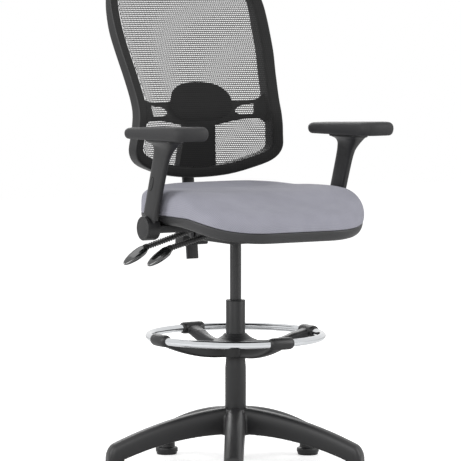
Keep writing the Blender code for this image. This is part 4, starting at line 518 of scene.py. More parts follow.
def woven_cloth():
    """Flat wool-blend weave: matt, a little lighter at its edges; threads drawn at 4.7 mm to show."""
    made, tree, shader = material("woven_upholstery_cloth", "9c9ca6", Roughness=0.92, Sheen_Weight=0.06,
                                  Sheen_Roughness=0.5, Specular_IOR_Level=0.2)
    uv = node(tree, "ShaderNodeUVMap", uv_map="weave").outputs["UV"]
    heights = []
    for turn in (0.0, math.pi / 2):
        laid = node(tree, "ShaderNodeMapping", {"Vector": uv, "Rotation": (0, 0, turn)})
        wave = node(tree, "ShaderNodeTexWave", {
            "Vector": laid.outputs["Vector"], "Scale": band_scale(4.74), "Distortion": 0.6, "Detail": 1.0,
            "Detail Scale": 2.0})
        heights.append(wave.outputs["Fac"])
    threads = node(tree, "ShaderNodeMath", {0: heights[0], 1: heights[1]}, operation="MULTIPLY")
    fleck = node(tree, "ShaderNodeTexNoise", {"Vector": uv, "Scale": 420.0, "Detail": 2.0})
    cloud = node(tree, "ShaderNodeTexNoise", {"Vector": uv, "Scale": 18.0, "Detail": 2.0})
    tone = node(tree, "ShaderNodeMath", {0: fleck.outputs["Fac"], 1: cloud.outputs["Fac"]}, operation="ADD")
    tone = node(tree, "ShaderNodeMath", {0: tone.outputs[0], 1: threads.outputs[0]}, operation="ADD")
    ramp = node(tree, "ShaderNodeMapRange", {"Value": tone.outputs[0], "From Min": 0.7, "From Max": 1.7})
    tint = node(tree, "ShaderNodeMix", {0: ramp.outputs["Result"], 6: linear("83838c"), 7: linear("93939d")},
                data_type="RGBA")
    relief = node(tree, "ShaderNodeBump", {"Height": threads.outputs[0], "Strength": 0.5,
                                           "Distance": 0.25 * MM})
    feed(tree, shader, {"Base Color": tint.outputs[2], "Normal": relief.outputs["Normal"]})
    return made


CLOTH = woven_cloth()

SLOT_FINISHES = {"nylon": NYLON, "polypropylene": POLYPROPYLENE, "black_steel": POWDER_COAT,
                 "bright_steel": ZINC_STEEL, "chrome_plate": CHROME, "soft_grip": RUBBER,
                 "gloss_plastic": GLOSS_NYLON, "soft_pad": PAD_SKIN, "plywood": PLYWOOD,
                 "woven_fabric": CLOTH, "mesh_fabric": MESH_THREAD}
for entry in frame["record"]["subparts"]:
    NODES[entry["node"]].data.materials.clear()
    NODES[entry["node"]].data.materials.append(SLOT_FINISHES[entry["material_slot"]])
for pin in ("rake_shaft", "lever_pin"):
    NODES[pin].data.materials[0] = OILED_STEEL


# --- Base ------------------------------------------------------------------------------------
def leg_share(reach):
    """How far out along a leg: 0 at the hub, 1 at the tip."""
    return (reach - HUB_RADIUS) / (LEG_REACH - HUB_RADIUS)


def leg_top(reach):
    share = leg_share(reach)
    return LEG_TOP - LEG_TIP_DROP * (0.36 * share + 0.64 * share * share)


def leg_underside(reach):
    return LEG_ROOT_UNDERSIDE - LEG_TIP_RISE * leg_share(reach) ** 2


def leg_half_width(reach):
    return LEG_HALF_WIDTH - 0.002 * leg_share(reach)


def arch(reach, half_width, low, high, points=24):
    """Upright section of a leg: flat below, a full round top."""
    ring = []
    for k in range(points):
        angle = math.pi * k / (points - 1)
        across = abs(math.cos(angle)) ** 0.62 * math.copysign(1, math.cos(angle))
        ring.append((reach, half_width * across, low + (high - low) * math.sin(angle) ** 0.55))
    return ring


def pointed(shape, angle):
    """Turn a shape built along +X so that it points at an angle from -Y towards -X."""
    return spun(shape, -math.pi / 2 - angle)


def build_leg():
    blunt = 0.016
    root = HUB_RADIUS * 0.6
    rings = [arch(root, LEG_HALF_WIDTH - 0.003, LEG_ROOT_UNDERSIDE + 0.006, HUB_TOP - 0.004)]
    stations = 22
    for k in range(stations + 1):
        r = HUB_RADIUS + (LEG_REACH - blunt - HUB_RADIUS) * k / stations
        rings.append(arch(r, leg_half_width(r), leg_underside(r), leg_top(r)))
    nose = LEG_REACH - blunt
    for share in (0.25, 0.5, 0.7, 0.85, 0.95, 1.0):
        r = nose + blunt * share
        curl = 1 - math.sqrt(max(1 - share * share, 0.0))
        rings.append(arch(r, leg_half_width(r) - 0.0090 * curl, leg_underside(r) + 0.006 * curl,
                          leg_top(r) - 0.003 * share - 0.020 * curl))
    return skin(rings)


def build_leg_hollow(side):
    start, end, last = HUB_RADIUS + 0.022, GLIDE_CIRCLE - 0.0185, 8
    rings = []
    for k in range(last + 1):
        r = start + (end - start) * k / last
        half = leg_half_width(r) - LEG_WALL - 0.0005
        low, high = leg_underside(r) - 0.01, leg_top(r) - LEG_WALL - 0.0015
        rings.append([(r, side * half * across, low + (high - low) * upward)
                      for across, upward in ((LEG_RIB / 2 / half, 0.0), (1.0, 0.0), (0.985, 0.55),
                                             (0.90, 0.78), (0.72, 0.9), (0.4, 0.97),
                                             (LEG_RIB / 2 / half, 1.0))])
    return skin(rings)


def build_base():
    angles = [LEG_HEADING + 2 * math.pi * k / LEG_COUNT for k in range(LEG_COUNT)]
    hub = rod((0, 0, HUB_BOTTOM), (0, 0, HUB_TOP), HUB_RADIUS + 0.008, 60, HUB_RADIUS)
    solids = [hub] + [pointed(build_leg(), angle) for angle in angles]
    hollows = merged(*[pointed(build_leg_hollow(side), angle) for angle in angles for side in (-1, 1)])
    bore = rod((0, 0, 0), (0, 0, LEG_TOP + 0.02), TUBE_FOOT_RADIUS + GAP, 60)
    star = fused(merged(*solids), 0.0022, 5, [hollows, bore])
    piece("star_base", star, "base", NYLON, ["base_star"], sharp=40)
    neck_top = GLIDE_SEAT - GAP
    profile = [(0.0, neck_top), (GLIDE_NECK, neck_top), (GLIDE_NECK + 0.0008, 0.0205),
               (GLIDE_RADIUS - 0.002, 0.0190), (GLIDE_RADIUS, 0.0165), (GLIDE_RADIUS, 0.0085),
               (GLIDE_RADIUS - 0.0015, 0.0070), (GLIDE_RADIUS - 0.0035, 0.0), (0.0, 0.0)]
    for k, angle in enumerate(angles):
        spot = (-GLIDE_CIRCLE * math.sin(angle), -GLIDE_CIRCLE * math.cos(angle), 0.0)
        piece(f"floor_glide_{k + 1}", turned(profile, 64, spot, 0.0014), "base", NYLON,
              [f"glide_{k + 1}"])


# --- Column ----------------------------------------------------------------------------------
def build_column():
    inner = TUBE_RADIUS - TUBE_WALL
    piece("outer_tube", turned([
        (TUBE_RADIUS, TUBE_TOP), (TUBE_RADIUS, TUBE_TAPER_TOP), (TUBE_FOOT_RADIUS, TUBE_TAPER_FOOT),
        (TUBE_FOOT_RADIUS, TUBE_FOOT), (inner, TUBE_FOOT), (inner, TUBE_TOP)]), "base", NYLON,
        ["column_tube"])
    top, neck = CYLINDER_TOP, CYLINDER_RADIUS - 0.0008
    piece("lift_cylinder", turned([
        (0.0, top), (neck, top), (CYLINDER_RADIUS, top - 0.037), (CYLINDER_RADIUS, CYLINDER_FOOT),
        (0.0, CYLINDER_FOOT)], corner=0.0005), "seat", SATIN_BLACK, ["gas_cylinder"])


# --- Foot ring -------------------------------------------------------------------------------
def spider_arm():
    """One arm, built along +X: deep at the hub, sweeping up to the clip."""
    rings = []
    stations = 20
    for k in range(stations + 1):
        share = k / stations
        reach = 0.026 + (RING_RADIUS - 0.026) * share
        low = -RING_HUB_DEPTH + 1.28 * max(reach - 0.04, 0.0) ** 2
        high = -0.008 - 0.009 * math.sin(math.pi * min(share / 0.75, 1.0)) + 0.020 * share ** 4
        half = 0.0150 - 0.003 * math.sin(math.pi * min(share * 1.3, 1.0)) + 0.006 * share ** 3
        rings.append([(reach, half * x, (low + high) / 2 + (high - low) / 2 * z)
                      for x, z in superellipse(1, 1, 28, 0.6)])
    return skin(rings)


def clip():
    """The sleeve that wraps the ring's tube, built about +X."""
    rings = []
    half_angle = CLIP_LENGTH / RING_RADIUS / 2
    for share in (-1.0, -0.98, -0.94, -0.88, -0.78, -0.6, -0.3, 0.0, 0.3, 0.6, 0.78, 0.88, 0.94, 0.98, 1.0):
        radius = CLIP_RADIUS + 0.0012 - 0.0050 * abs(share) ** 10
        turn = Matrix.Rotation(half_angle * share, 3, "Z")
        rings.append([turn @ Vector((RING_RADIUS + radius * math.cos(a), 0, radius * math.sin(a)))
                      for a in (2 * math.pi * k / 32 for k in range(32))])
    return skin(rings)


def build_foot_ring():
    shape = bmesh.new()
    bmesh.ops.create_circle(shape, segments=36, radius=RING_TUBE)
    spun(shape, math.pi / 2, "X")
    moved(shape, (RING_RADIUS, 0, RING_LEVEL))
    bmesh.ops.spin(shape, geom=shape.verts[:] + shape.edges[:], cent=(0, 0, 0), axis=(0, 0, 1),
                   angle=2 * math.pi, steps=180, use_merge=True)
    bmesh.ops.remove_doubles(shape, verts=shape.verts, dist=0.000001)
    bmesh.ops.recalc_face_normals(shape, faces=shape.faces)
    piece("chrome_ring", shape, "foot_ring", CHROME, ["foot_ring"])

    bore = TUBE_RADIUS + GAP
    hub = turned([(bore - 0.002, RING_HUB_RISE), (bore + 0.0030, RING_HUB_RISE), (bore + 0.0085, 0.0005),
                  (bore + 0.0190, -0.0065), (bore + 0.0345, -0.0130), (bore + 0.0345, -0.0190),
                  (RING_HUB_RADIUS + 0.002, -0.0260), (RING_HUB_RADIUS - 0.006, -RING_HUB_DEPTH),
                  (bore - 0.002, -RING_HUB_DEPTH)], 96, corner=0.003)
    angles = [2 * math.pi * k / RING_ARM_COUNT for k in range(RING_ARM_COUNT)]
    parts = [hub] + [pointed(make(), angle) for angle in angles for make in (spider_arm, clip)]
    hole = rod((0, 0, -0.1), (0, 0, 0.1), bore, 72)
    spider = fused(merged(*parts), 0.0016, 5, [hole])
    piece("ring_carrier", moved(spider, (0, 0, RING_LEVEL)), "foot_ring", NYLON, ["ring_spider"],
          sharp=50)

    spot = (RING_HUB_RADIUS + 0.0045) * math.sqrt(0.5)
    knob = knob_with_screw(0.0168, 0.020, RING_HUB_RADIUS + 0.0045 - bore - GAP)
    spun(knob, -math.pi / 2, "X")
    spun(knob, -math.pi / 4)
    moved(knob, (spot, spot, RING_LEVEL - RING_HUB_DEPTH + 0.016))
    piece("ring_clamp_knob", knob, "ring_knob", NYLON, ["ring_knob"])


def knob_with_screw(radius, length, reach):
    """A six-lobed hand knob along +Z with its screw below it."""
    rings = []
    for height, share in ((0.0, 0.76), (0.02, 0.80), (0.07, 0.90), (0.14, 0.97), (0.24, 1.0), (0.5, 1.0),
                          (0.76, 1.0), (0.86, 0.97), (0.94, 0.90), (0.985, 0.80), (1.0, 0.72),
                          (0.99, 0.60), (0.96, 0.48), (0.95, 0.2)):
        ring = []
        for k in range(96):
            angle = 2 * math.pi * k / 96
            reach_out = radius * share * (0.91 + 0.09 * math.cos(6 * angle) * min(share * 1.1, 1.0))
            ring.append((reach_out * math.cos(angle), reach_out * math.sin(angle), height * length))
        rings.append(ring)
    return merged(skin(rings), rod((0, 0, -reach), (0, 0, 0.002), 0.004, 32))


# --- Seat ------------------------------------------------------------------------------------
def seat_outline(inset, steps=20):
    """Plan of the seat drawn in by inset, with points along its straight sides."""
    half = SEAT_WIDTH / 2 - inset
    front, back = SEAT_FRONT + inset, SEAT_BACK - inset
    rear_radius, front_radius = SEAT_CORNER - inset, SEAT_FRONT_CORNER - inset
    corners = []
    for k, (right, rear) in enumerate(((1, 1), (-1, 1), (-1, -1), (1, -1))):
        radius = rear_radius if rear > 0 else front_radius
        x = right * (half - radius)
        y = back - radius if rear > 0 else front + radius
        corners.append([(x + radius * math.cos(math.pi / 2 * (k + j / steps)),
                         y + radius * math.sin(math.pi / 2 * (k + j / steps))) for j in range(steps + 1)])
    outline = []
    for corner, following in zip(corners, corners[1:] + corners[:1]):
        outline += corner
        (x0, y0), (x1, y1) = corner[-1], following[0]
        outline += [(x0 + (x1 - x0) * j / 8, y0 + (y1 - y0) * j / 8) for j in range(1, 8)]
    return outline


def front_fall(y, height):
    share = smooth_step(-y, -SEAT_FALL_START, -SEAT_FALL_END)
    blend = min(max(height / SHELL_HEIGHT, 0.0), 1.0)
    return (SHELL_FLOOR_FALL + (SHELL_RIM_FALL - SHELL_FLOOR_FALL) * blend) * share


def side_lift(x, y):
    """How much higher the shell's underside lies towards its sides than over the mechanism."""
    return BRACKET_LIFT * smooth_step(abs(x), 0.115, 0.185) * (1 - smooth_step(-y, 0.09, 0.24))


def seat_ring(inset, height, lifted=0.0):
    return [(x, y, SEAT_LEVEL + height - front_fall(y, height) + lifted * side_lift(x, y))
            for x, y in seat_outline(inset)]


def cushion_top(x, y):
    """Height of the cushion's top over the shell's rim: a bowl with a rear lip and a waterfall front."""
    fall = CUSHION_FRONT_FALL * smooth_step(-y, 0.06, -SEAT_FRONT + 0.02) ** 1.4
    bowl = CUSHION_LIP - CUSHION_BOLSTER * smooth_step(abs(x), 0.085, 0.225)
    bowl *= (1 - smooth_step(y, 0.040, 0.112)) * smooth_step(y, -0.30, -0.03)
    corner = 0.005 * smooth_step(abs(x), 0.08, 0.22) * smooth_step(y, -0.05, 0.12)
    return CUSHION_HEIGHT + 0.0015 - fall - bowl - corner


def cushion_outline(inset):
    """Plan of the cushion; where it swells past the shell, it does so less towards the back."""
    if inset >= 0:
        return seat_outline(inset)
    outline = []
    for (x, y), (wide_x, wide_y) in zip(seat_outline(0.0), seat_outline(inset)):
        share = smooth_step(-y, -0.10, 0.02)
        outline.append((x + (wide_x - x) * share, y + (wide_y - y) * share))
    return outline


def build_board():
    """The plywood board under the foam, bent with the shell that it lies in."""
    low, high, edge = SHELL_FLOOR + GAP, SHELL_FLOOR + GAP + BOARD_THICKNESS, 0.0012
    layers = [(inset, low) for inset in SEAT_RINGS]
    layers += [(BOARD_INSET + edge, low), (BOARD_INSET, low + edge), (BOARD_INSET, high - edge),
               (BOARD_INSET + edge, high)]
    layers += [(inset, high) for inset in reversed(SEAT_RINGS)]
    shape = skin([seat_ring(inset, height, 1.0) for inset, height in layers])
    piece("plywood_board", shape, "seat", PLYWOOD, ["seat_board"])


def build_shell():
    """The tray under the board, as rings of (inset, height, share of the side lift)."""
    rim = SHELL_HEIGHT
    tuck = SHELL_TUCK
    layers = [(inset, 0.0, 1.0) for inset in SEAT_RINGS]
    layers += [(tuck + 0.012, 0.0, 1.0), (tuck + 0.006, 0.0006, 1.0), (tuck + 0.002, 0.0026, 1.0),
               (tuck - 0.0015, 0.0060, 0.9), (0.0058, rim * 0.30, 0.7), (0.0038, rim * 0.42, 0.5),
               (0.0022, rim * 0.55, 0.3), (0.0010, rim * 0.68, 0.15), (0.0004, rim * 0.82, 0.05),
               (0.0, rim - 0.0016, 0.0), (0.0003, rim - 0.0007, 0.0), (0.0009, rim - 0.0001, 0.0),
               (0.0016, rim, 0.0), (SHELL_WALL - 0.0004, rim, 0.0), (SHELL_WALL + 0.0006, rim - 0.0004, 0.0),
               (SHELL_WALL + 0.002, rim * 0.55, 0.3), (SHELL_WALL + 0.007, SHELL_FLOOR + 0.008, 1.0),
               (SHELL_WALL + tuck + 0.002, SHELL_FLOOR + 0.001, 1.0)]
    layers += [(inset, SHELL_FLOOR, 1.0) for inset in reversed(SEAT_RINGS)]
    shape = skin([seat_ring(*layer) for layer in layers])
    piece("underseat_shell", shape, "seat", SHELL_PLASTIC, ["seat_shell"], sharp=50)


def cushion_uv(mesh):
    """Lay the weave over the top and down the sides without stretching it."""
    layer = mesh.uv_layers.new(name="weave")
    middle_y = (SEAT_FRONT + SEAT_BACK) / 2
    for loop in mesh.loops:
        x, y, z = mesh.vertices[loop.vertex_index].co
        out = Vector((x, y - middle_y))
        drop = max(SEAT_LEVEL + SHELL_HEIGHT + 0.060 - z, 0.0)
        edge = smooth_step(out.length, 0.17, 0.24)
        u, v = out + out.normalized() * drop * edge
        layer.data[loop.index].uv = (u, v)


def softened(values, edges, passes):
    """Even a field out over a mesh's edges."""
    for _ in range(passes):
        total, count = values.copy(), np.ones((len(values), 1))
        for a, b in ((0, 1), (1, 0)):
            np.add.at(total, edges[:, a], values[edges[:, b]])
            np.add.at(count, edges[:, a], 1.0)
        values = total / count
    return values


def build_cushion():
    """Foam rings in the shell and up to the crown, then blown out a little as cloth under pressure."""
    seam = SHELL_HEIGHT + GAP
    middle = (SEAT_FRONT + SEAT_BACK) / 2

    def top_ring(inset, drop, share=1.0):
        ring = []
        for x, y in cushion_outline(inset):
            x, y = x * share, middle + (y - middle) * share
            z = seam + cushion_top(x, y) - drop
            ring.append((x, y, SEAT_LEVEL + z - front_fall(y, z)))
        return ring

    floor = SHELL_FLOOR + BOARD_THICKNESS + 0.002
    layers = [seat_ring(inset, floor, 1.0) for inset in (0.138, 0.105, 0.065, 0.035, SHELL_WALL + 0.012)]
    layers += [seat_ring(SHELL_WALL + 0.006, 0.026, 0.5), seat_ring(SHELL_WALL + 0.003, seam),
               seat_ring(0.0004, seam + 0.0006)]
    for k in range(1, 6):
        ring = []
        for x, y in cushion_outline(-CUSHION_OVERHANG * math.sin(math.pi / 2 * k / 5) ** 0.8):
            rise = min(0.017, cushion_top(x, y) - CUSHION_ROUND * 0.95 - 0.0015)
            height = seam + 0.0006 + rise * (k / 5) ** 1.5
            ring.append((x, y, SEAT_LEVEL + height - front_fall(y, height)))
        layers.append(ring)
    for k in range(10):
        angle = math.pi / 2 * k / 9
        layers.append(top_ring(-CUSHION_OVERHANG + (CUSHION_ROUND + CUSHION_OVERHANG) * (1 - math.cos(angle)),
                               CUSHION_ROUND * 0.95 * (1 - math.sin(angle))))
    layers += [top_ring(CUSHION_ROUND, 0.0, 1 - k / 16) for k in range(1, 16)]
    item = temporary("seat_foam", skin(layers))
    rest = np.array([v.co for v in item.data.vertices])
    held = item.vertex_groups.new(name="tucked")
    low = SEAT_LEVEL + SHELL_HEIGHT + 0.002
    for vertex in item.data.vertices:
        if vertex.co.z < low - front_fall(vertex.co.y, SHELL_HEIGHT):
            held.add([vertex.index], 1.0, "ADD")
    cloth = item.modifiers.new("inflate", "CLOTH")
    cloth.settings.vertex_group_mass = "tucked"
    cloth.settings.use_pressure = True
    cloth.settings.uniform_pressure_force = 3.0
    cloth.settings.tension_stiffness = 25
    cloth.settings.compression_stiffness = 25
    cloth.settings.bending_stiffness = 4.0
    cloth.settings.effector_weights.gravity = 0.0
    last_frame = 20
    cloth.point_cache.frame_start, cloth.point_cache.frame_end = 1, last_frame
    for step in range(1, last_frame + 1):
        bpy.context.scene.frame_set(step)
    graph = bpy.context.evaluated_depsgraph_get()
    swollen = np.array([v.co for v in item.evaluated_get(graph).data.vertices])
    item.modifiers.clear()
    bpy.context.scene.frame_set(1)
    move = swollen - rest
    length = np.linalg.norm(move, axis=1, keepdims=True)
    move *= CUSHION_SWELL * np.tanh(length / CUSHION_SWELL) / np.maximum(length, 1e-9)
    edges = np.array([e.vertices[:] for e in item.data.edges])
    move = softened(move, edges, 24)
    item.data.vertices.foreach_set("co", (rest + move).astype(np.float32).ravel())
    shape = bmesh.new()
    shape.from_mesh(item.data)
    bpy.data.objects.remove(item)
    cushion = piece("seat_upholstery", shape, "seat", CLOTH, ["seat_cushion"], sharp=180,
                    subdivide=1)
    cushion_uv(cushion.data)


# --- Mechanism and levers --------------------------------------------------------------------
def build_mechanism():
    tray = welded_copy("mechanism_tray")
    knee = SEAT_LEVEL - 0.036
    for vertex in tray.verts:
        if vertex.co.z < knee:
            vertex.co.z = knee + (vertex.co.z - knee) * 0.5
    piece("tilt_tray", tray, "seat", POWDER_COAT, ["mechanism_tray"], bevel=0.0011)
    piece("rake_carrier", welded_copy("back_carrier"), "back_carrier", POWDER_COAT,
          ["back_carrier"], bevel=0.0009)
    piece("clamp_housing", welded_copy("bar_housing"), "back_carrier", POLYPROPYLENE,
          ["bar_housing"], bevel=0.0008)
    top, foot = CYLINDER_TOP, CYLINDER_TOP - SOCKET_DEPTH
    socket = turned([(0.019, top), (0.019, foot), (0.0148, foot), (0.0141, top)], 64, corner=0.0006)
    piece("column_socket", socket, "seat", POWDER_COAT, ["taper_socket"])
    knob_y, knob_z = 0.247, SEAT_LEVEL - 0.03875
    knob = knob_with_screw(0.021, 0.020, 0.020)
    spun(knob, -math.pi / 2, "X")
    piece("height_clamp_knob", moved(knob, (0, knob_y, knob_z)), "back_knob", NYLON, ["back_knob"])


def build_lever(name, y, route, grip_start, inner):
    """Steel rod, ribbed sleeve and a paddle grip that is twisted about its length and flatter below."""
    origin = Vector((LEVER_X, y, LEVER_Z))
    start, finish = Vector(route[-1]), Vector(grip_start)
    along = Vector((-math.cos(GRIP_SLOPE), 0, -math.sin(GRIP_SLOPE)))
    ribs, fine = 18, 8
    direction = finish - start
    stations = ribs * fine
    points = [start + direction * (k / stations) for k in range(stations + 1)]
    sizes = [(0.0044 + 0.0036 * math.sin(math.pi * k / fine) ** 2,) * 2 for k in range(stations + 1)]
    piece(name + "_bellows", moved(pipe(points, sizes, 32), origin), name, BELLOWS_RUBBER,
          [name + "_sleeve"], sharp=70)

    # Stations of the grip: share of its length, of its half breadth and of its half thickness.
    table = [(0.0, 0.50, 0.62), (0.012, 0.56, 0.70), (0.04, 0.60, 0.76), (0.09, 0.68, 0.80),
             (0.15, 0.85, 0.88), (0.22, 0.95, 0.96), (0.34, 1.0, 1.0), (0.50, 0.98, 0.97),
             (0.66, 0.88, 0.86), (0.80, 0.72, 0.68), (0.90, 0.54, 0.50), (0.96, 0.36, 0.34),
             (0.99, 0.20, 0.20), (1.0, 0.06, 0.06)]
    rows = smooth_curve(table, 4)
    broad = Vector((-math.sin(GRIP_SLOPE) * math.sin(GRIP_TWIST), math.cos(GRIP_TWIST),
                    math.cos(GRIP_SLOPE) * math.sin(GRIP_TWIST)))
    points = [finish + along * (GRIP_LENGTH * share - 0.002) for share, _, _ in rows]
    grip = pipe(points, [(GRIP_BREADTH / 2 * wide, GRIP_THICKNESS / 2 * tall) for _, wide, tall in rows],
                40, 0.82, broad)
    under = along.cross(broad).normalized()
    under *= math.copysign(1, -under.z)
    for vertex in grip.verts:
        depth = (vertex.co - finish).dot(under)
        if depth < 0:
            vertex.co -= under * depth * 0.30
    piece(name + "_paddle", moved(grip, origin), name, GLOSS_NYLON, [name + "_grip"],
          sharp=70)

    collar = pipe([finish + along * step for step in (-0.0035, -0.002, 0.004, 0.007)],
                  [(0.0062, 0.0062), (0.0084, 0.0080), (0.0094, 0.0090), (0.0090, 0.0086)], 40, 0.9)
    piece(name + "_collar", moved(collar, origin), name, RUBBER)

    bend = smooth_curve([Vector(p) for p in inner + route], 6)
    steel = pipe([Vector(p) for p in bend], [(0.0036, 0.0036)] * len(bend), 24)
    eye = rod((0, -0.007, 0), (0, 0.007, 0), 0.0065, 32)
    piece(name + "_steel", moved(merged(steel, eye), origin), name, POWDER_COAT,
          [name + "_rod"])


# --- Armrests --------------------------------------------------------------------------------
def arm_ring(x, r, half_width, half_length, lean, points=48):
    """Section of the leaning stalk at a distance r from the arm's axis."""
    y, z = -math.sin(ARM_LEAN) * r, math.cos(ARM_LEAN) * r
    return [(x + dx, y + dy * math.cos(lean), z + dy * math.sin(lean))
            for dx, dy in superellipse(half_width, half_length, points, 0.55)]


def pad_rise(y):
    return PAD_RISE * (PAD_REAR - y) / (PAD_REAR - PAD_FRONT)


def drum(side, start, end, radius, edge, groove=False):
    """A disc about the arm's axis between two distances from the chair's middle."""
    thick = end - start
    profile = [(0.0, thick), (radius - edge, thick), (radius, thick - edge), (radius, 0.0), (0.0, 0.0)]
    if groove:
        profile[1:1] = [(radius * 0.74, thick), (radius * 0.755, thick - 0.0005), (radius * 0.77, thick)]
    shape = turned(profile, 96, corner=edge * 0.4)
    spun(shape, side * math.pi / 2, "Y")
    return moved(shape, (side * start, 0, 0))


ARM_OUTER_X = ARM_EAR_X + ARM_EAR_THICKNESS
STALK_REACH = ARM_TOP / math.cos(ARM_LEAN)


def build_arm_bracket(side, tag):
    """Steel bar under the shell, with the ear and the cap of the fold; side is -1 on the sitter's right."""
    rings = []
    for k in range(25):
        x = BRACKET_START + (ARM_OUTER_X - BRACKET_START) * k / 24
        thickness = BRACKET_THICKNESS + BRACKET_GAIN * smooth_step(x, 0.117, 0.176)
        half = BRACKET_HALF_WIDTH - 0.003 * (1 - smooth_step(x, BRACKET_START, 0.122))
        high = -0.0017 - GAP + side_lift(x, ARM_AXIS.y)
        section = [(-half, 0.0), (half, 0.0), (half, -thickness), (-half, -thickness)]
        rings.append([(side * x, y, high + z)
                      for y, z in rounded(section, [0.002, 0.002, 0.005, 0.005], 4)])
    ear = drum(side, ARM_EAR_X, ARM_OUTER_X, DRUM_RADIUS - 0.002, 0.0006)
    piece(f"arm_bracket_bar_{tag}", moved(merged(skin(rings), ear), ARM_AXIS), "seat", POWDER_COAT,
          [f"arm_bracket_{tag}"])
    far = ARM_OUTER_X + GAP + DRUM_LENGTH + GAP
    cap = drum(side, far, far + CAP_THICKNESS, DRUM_RADIUS, 0.0011, True)
    piece(f"arm_pivot_cap_{tag}", moved(cap, ARM_AXIS), "seat", NYLON, [f"arm_pivot_{tag}"],
          sharp=25)


def build_arm_stalk(side, tag):
    """The post on the fold's drum, the stalk that slides up it and the button that lets it go."""
    start = ARM_OUTER_X + GAP
    barrel = drum(side, start, start + DRUM_LENGTH, DRUM_RADIUS, 0.0007)
    post = skin([arm_ring(side * ARM_X, r, POST_HALF_WIDTH, POST_HALF_DEPTH, ARM_LEAN, 40)
                 for r in (0.010, 0.09, POST_HEIGHT)])
    piece(f"arm_stem_{tag}", moved(merged(barrel, post), ARM_AXIS), f"arm_{tag}_fold", NYLON,
          [f"arm_post_{tag}"])

    # Stations of the stalk: share of its height, half depth, half width and how far it still leans.
    table = [(-0.004, 0.0284, 0.0089, 1.0), (0.0, 0.0290, 0.0095, 1.0), (0.25, 0.0293, 0.0095, 1.0),
             (0.50, 0.0298, 0.0096, 1.0), (0.72, 0.0307, 0.0098, 1.0), (0.82, 0.0328, 0.0104, 0.90),
             (0.88, 0.0362, 0.0115, 0.75), (0.94, 0.0462, 0.0145, 0.40), (0.98, 0.0565, 0.0198, 0.10),
             (1.0, 0.0625, 0.0240, 0.0)]
    rings = [arm_ring(side * ARM_X, STALK_FOOT + (STALK_REACH - STALK_FOOT) * share, width, depth,
                      ARM_LEAN * max(lean, 0.0))
             for share, depth, width, lean in smooth_curve(table, 6)]
    hollow = skin([arm_ring(side * ARM_X, r, POST_HALF_WIDTH + GAP, POST_HALF_DEPTH + GAP, ARM_LEAN, 40)
                   for r in (0.016, 0.09, POST_HEIGHT + 0.004)])
    pocket = skin([button_ring(side, depth, GAP) for depth in (-0.0103, 0.01)])
    surround = skin([button_ring(side, depth, grow)
                     for depth, grow in ((-0.0024, 0.0014), (0.0002, 0.0026), (0.01, 0.0026))])
    sleeve = carved(skin(rings), hollow, pocket, surround)
    piece(f"arm_stalk_{tag}", moved(sleeve, ARM_AXIS), f"arm_{tag}_height", NYLON,
          [f"arm_sleeve_{tag}"], sharp=50)

    button = skin([button_ring(side, depth, grow)
                   for depth, grow in ((-0.0023, -0.0002), (-0.0008, 0.0), (-0.0005, -0.0003),
                                       (-0.0002, -0.0009), (0.0, -0.0022), (0.0001, -0.0040))])
    piece(f"arm_release_{tag}", moved(button, ARM_AXIS), f"arm_{tag}_button", NYLON,
          [f"arm_button_{tag}"])


def build_arm_pad(side, tag):
    """A thin plate on the stalk, and the soft pad with its rounded upper edge."""
    slide = f"arm_{tag}_height"
    low = ARM_TOP + GAP
    middle = -math.sin(ARM_LEAN) * STALK_REACH
    rings = []
    for inset, share in ((0.0012, 0.0), (0.0, 0.25), (0.0, 0.75), (0.0012, 1.0)):
        rings.append([(side * ARM_X + x, middle + y, low + (PLATE_THICKNESS + pad_rise(middle + y)) * share)
                      for x, y in superellipse(0.025 - inset, 0.0635 - inset, 64, 0.35)])
    piece(f"arm_pad_plate_{tag}", moved(skin(rings), ARM_AXIS), slide, NYLON, [f"arm_plate_{tag}"])

    layers = [(0.020, 0.0), (0.0105, 0.0), (0.0070, 0.025), (0.0038, 0.10), (0.0014, 0.24), (0.0002, 0.40),
              (0.0, 0.52), (0.0006, 0.66), (0.0026, 0.80), (0.0060, 0.905), (0.0105, 0.962), (0.0160, 0.985),
              (0.024, 0.996), (0.034, 1.0), (0.0435, 1.002)]
    rings = [pad_ring(side, max(inset, 0.0), share, low + PLATE_THICKNESS + GAP)
             for inset, share in smooth_curve(layers, 2)]
    piece(f"arm_cushion_{tag}", moved(skin(rings), ARM_AXIS), slide, PAD_SKIN, [f"arm_pad_{tag}"],
          sharp=60)


def button_ring(side, depth, grow):
    """Oval of the release button at a depth from the outer face of the stalk."""
    ring = []
    for k in range(40):
        angle = 2 * math.pi * k / 40
        up = BUTTON_UP + (BUTTON_HALF_LENGTH + grow) * math.sin(angle)
        across = BUTTON_ACROSS + (BUTTON_HALF_WIDTH + grow) * math.cos(angle)
        ring.append((side * (ARM_X + STALK_FACE + depth),
                     across * math.cos(ARM_LEAN) - up * math.sin(ARM_LEAN),
                     across * math.sin(ARM_LEAN) + up * math.cos(ARM_LEAN)))
    return ring


def pad_ring(side, inset, share, low):
    """Plan of the arm pad drawn in by inset, at a share of its thickness."""
    inner, outer = side * (ARM_X - PAD_HALF_WIDTH + inset), side * (ARM_X + PAD_HALF_WIDTH - inset)
    corners = [(inner, PAD_REAR - inset), (outer, PAD_REAR - inset), (outer, PAD_FRONT + PAD_SKEW + inset),
               (inner, PAD_FRONT + inset)]
    radii = [max(radius - inset * 0.75, 0.003) for radius in (0.040, 0.040, 0.030, 0.040)]
    ring = []
    for x, y in rounded(corners, radii, 8):
        run = smooth_step(PAD_REAR - y, 0.0, PAD_REAR - PAD_FRONT)
        ring.append((x, y, low + pad_rise(y) + (PAD_THICKNESS + PAD_GAIN * run) * share))
    return ring


# --- Back ------------------------------------------------------------------------------------
SIDE_SHARE, SIDE_Y = zip(*smooth_curve(BACK_PROFILE, 12))


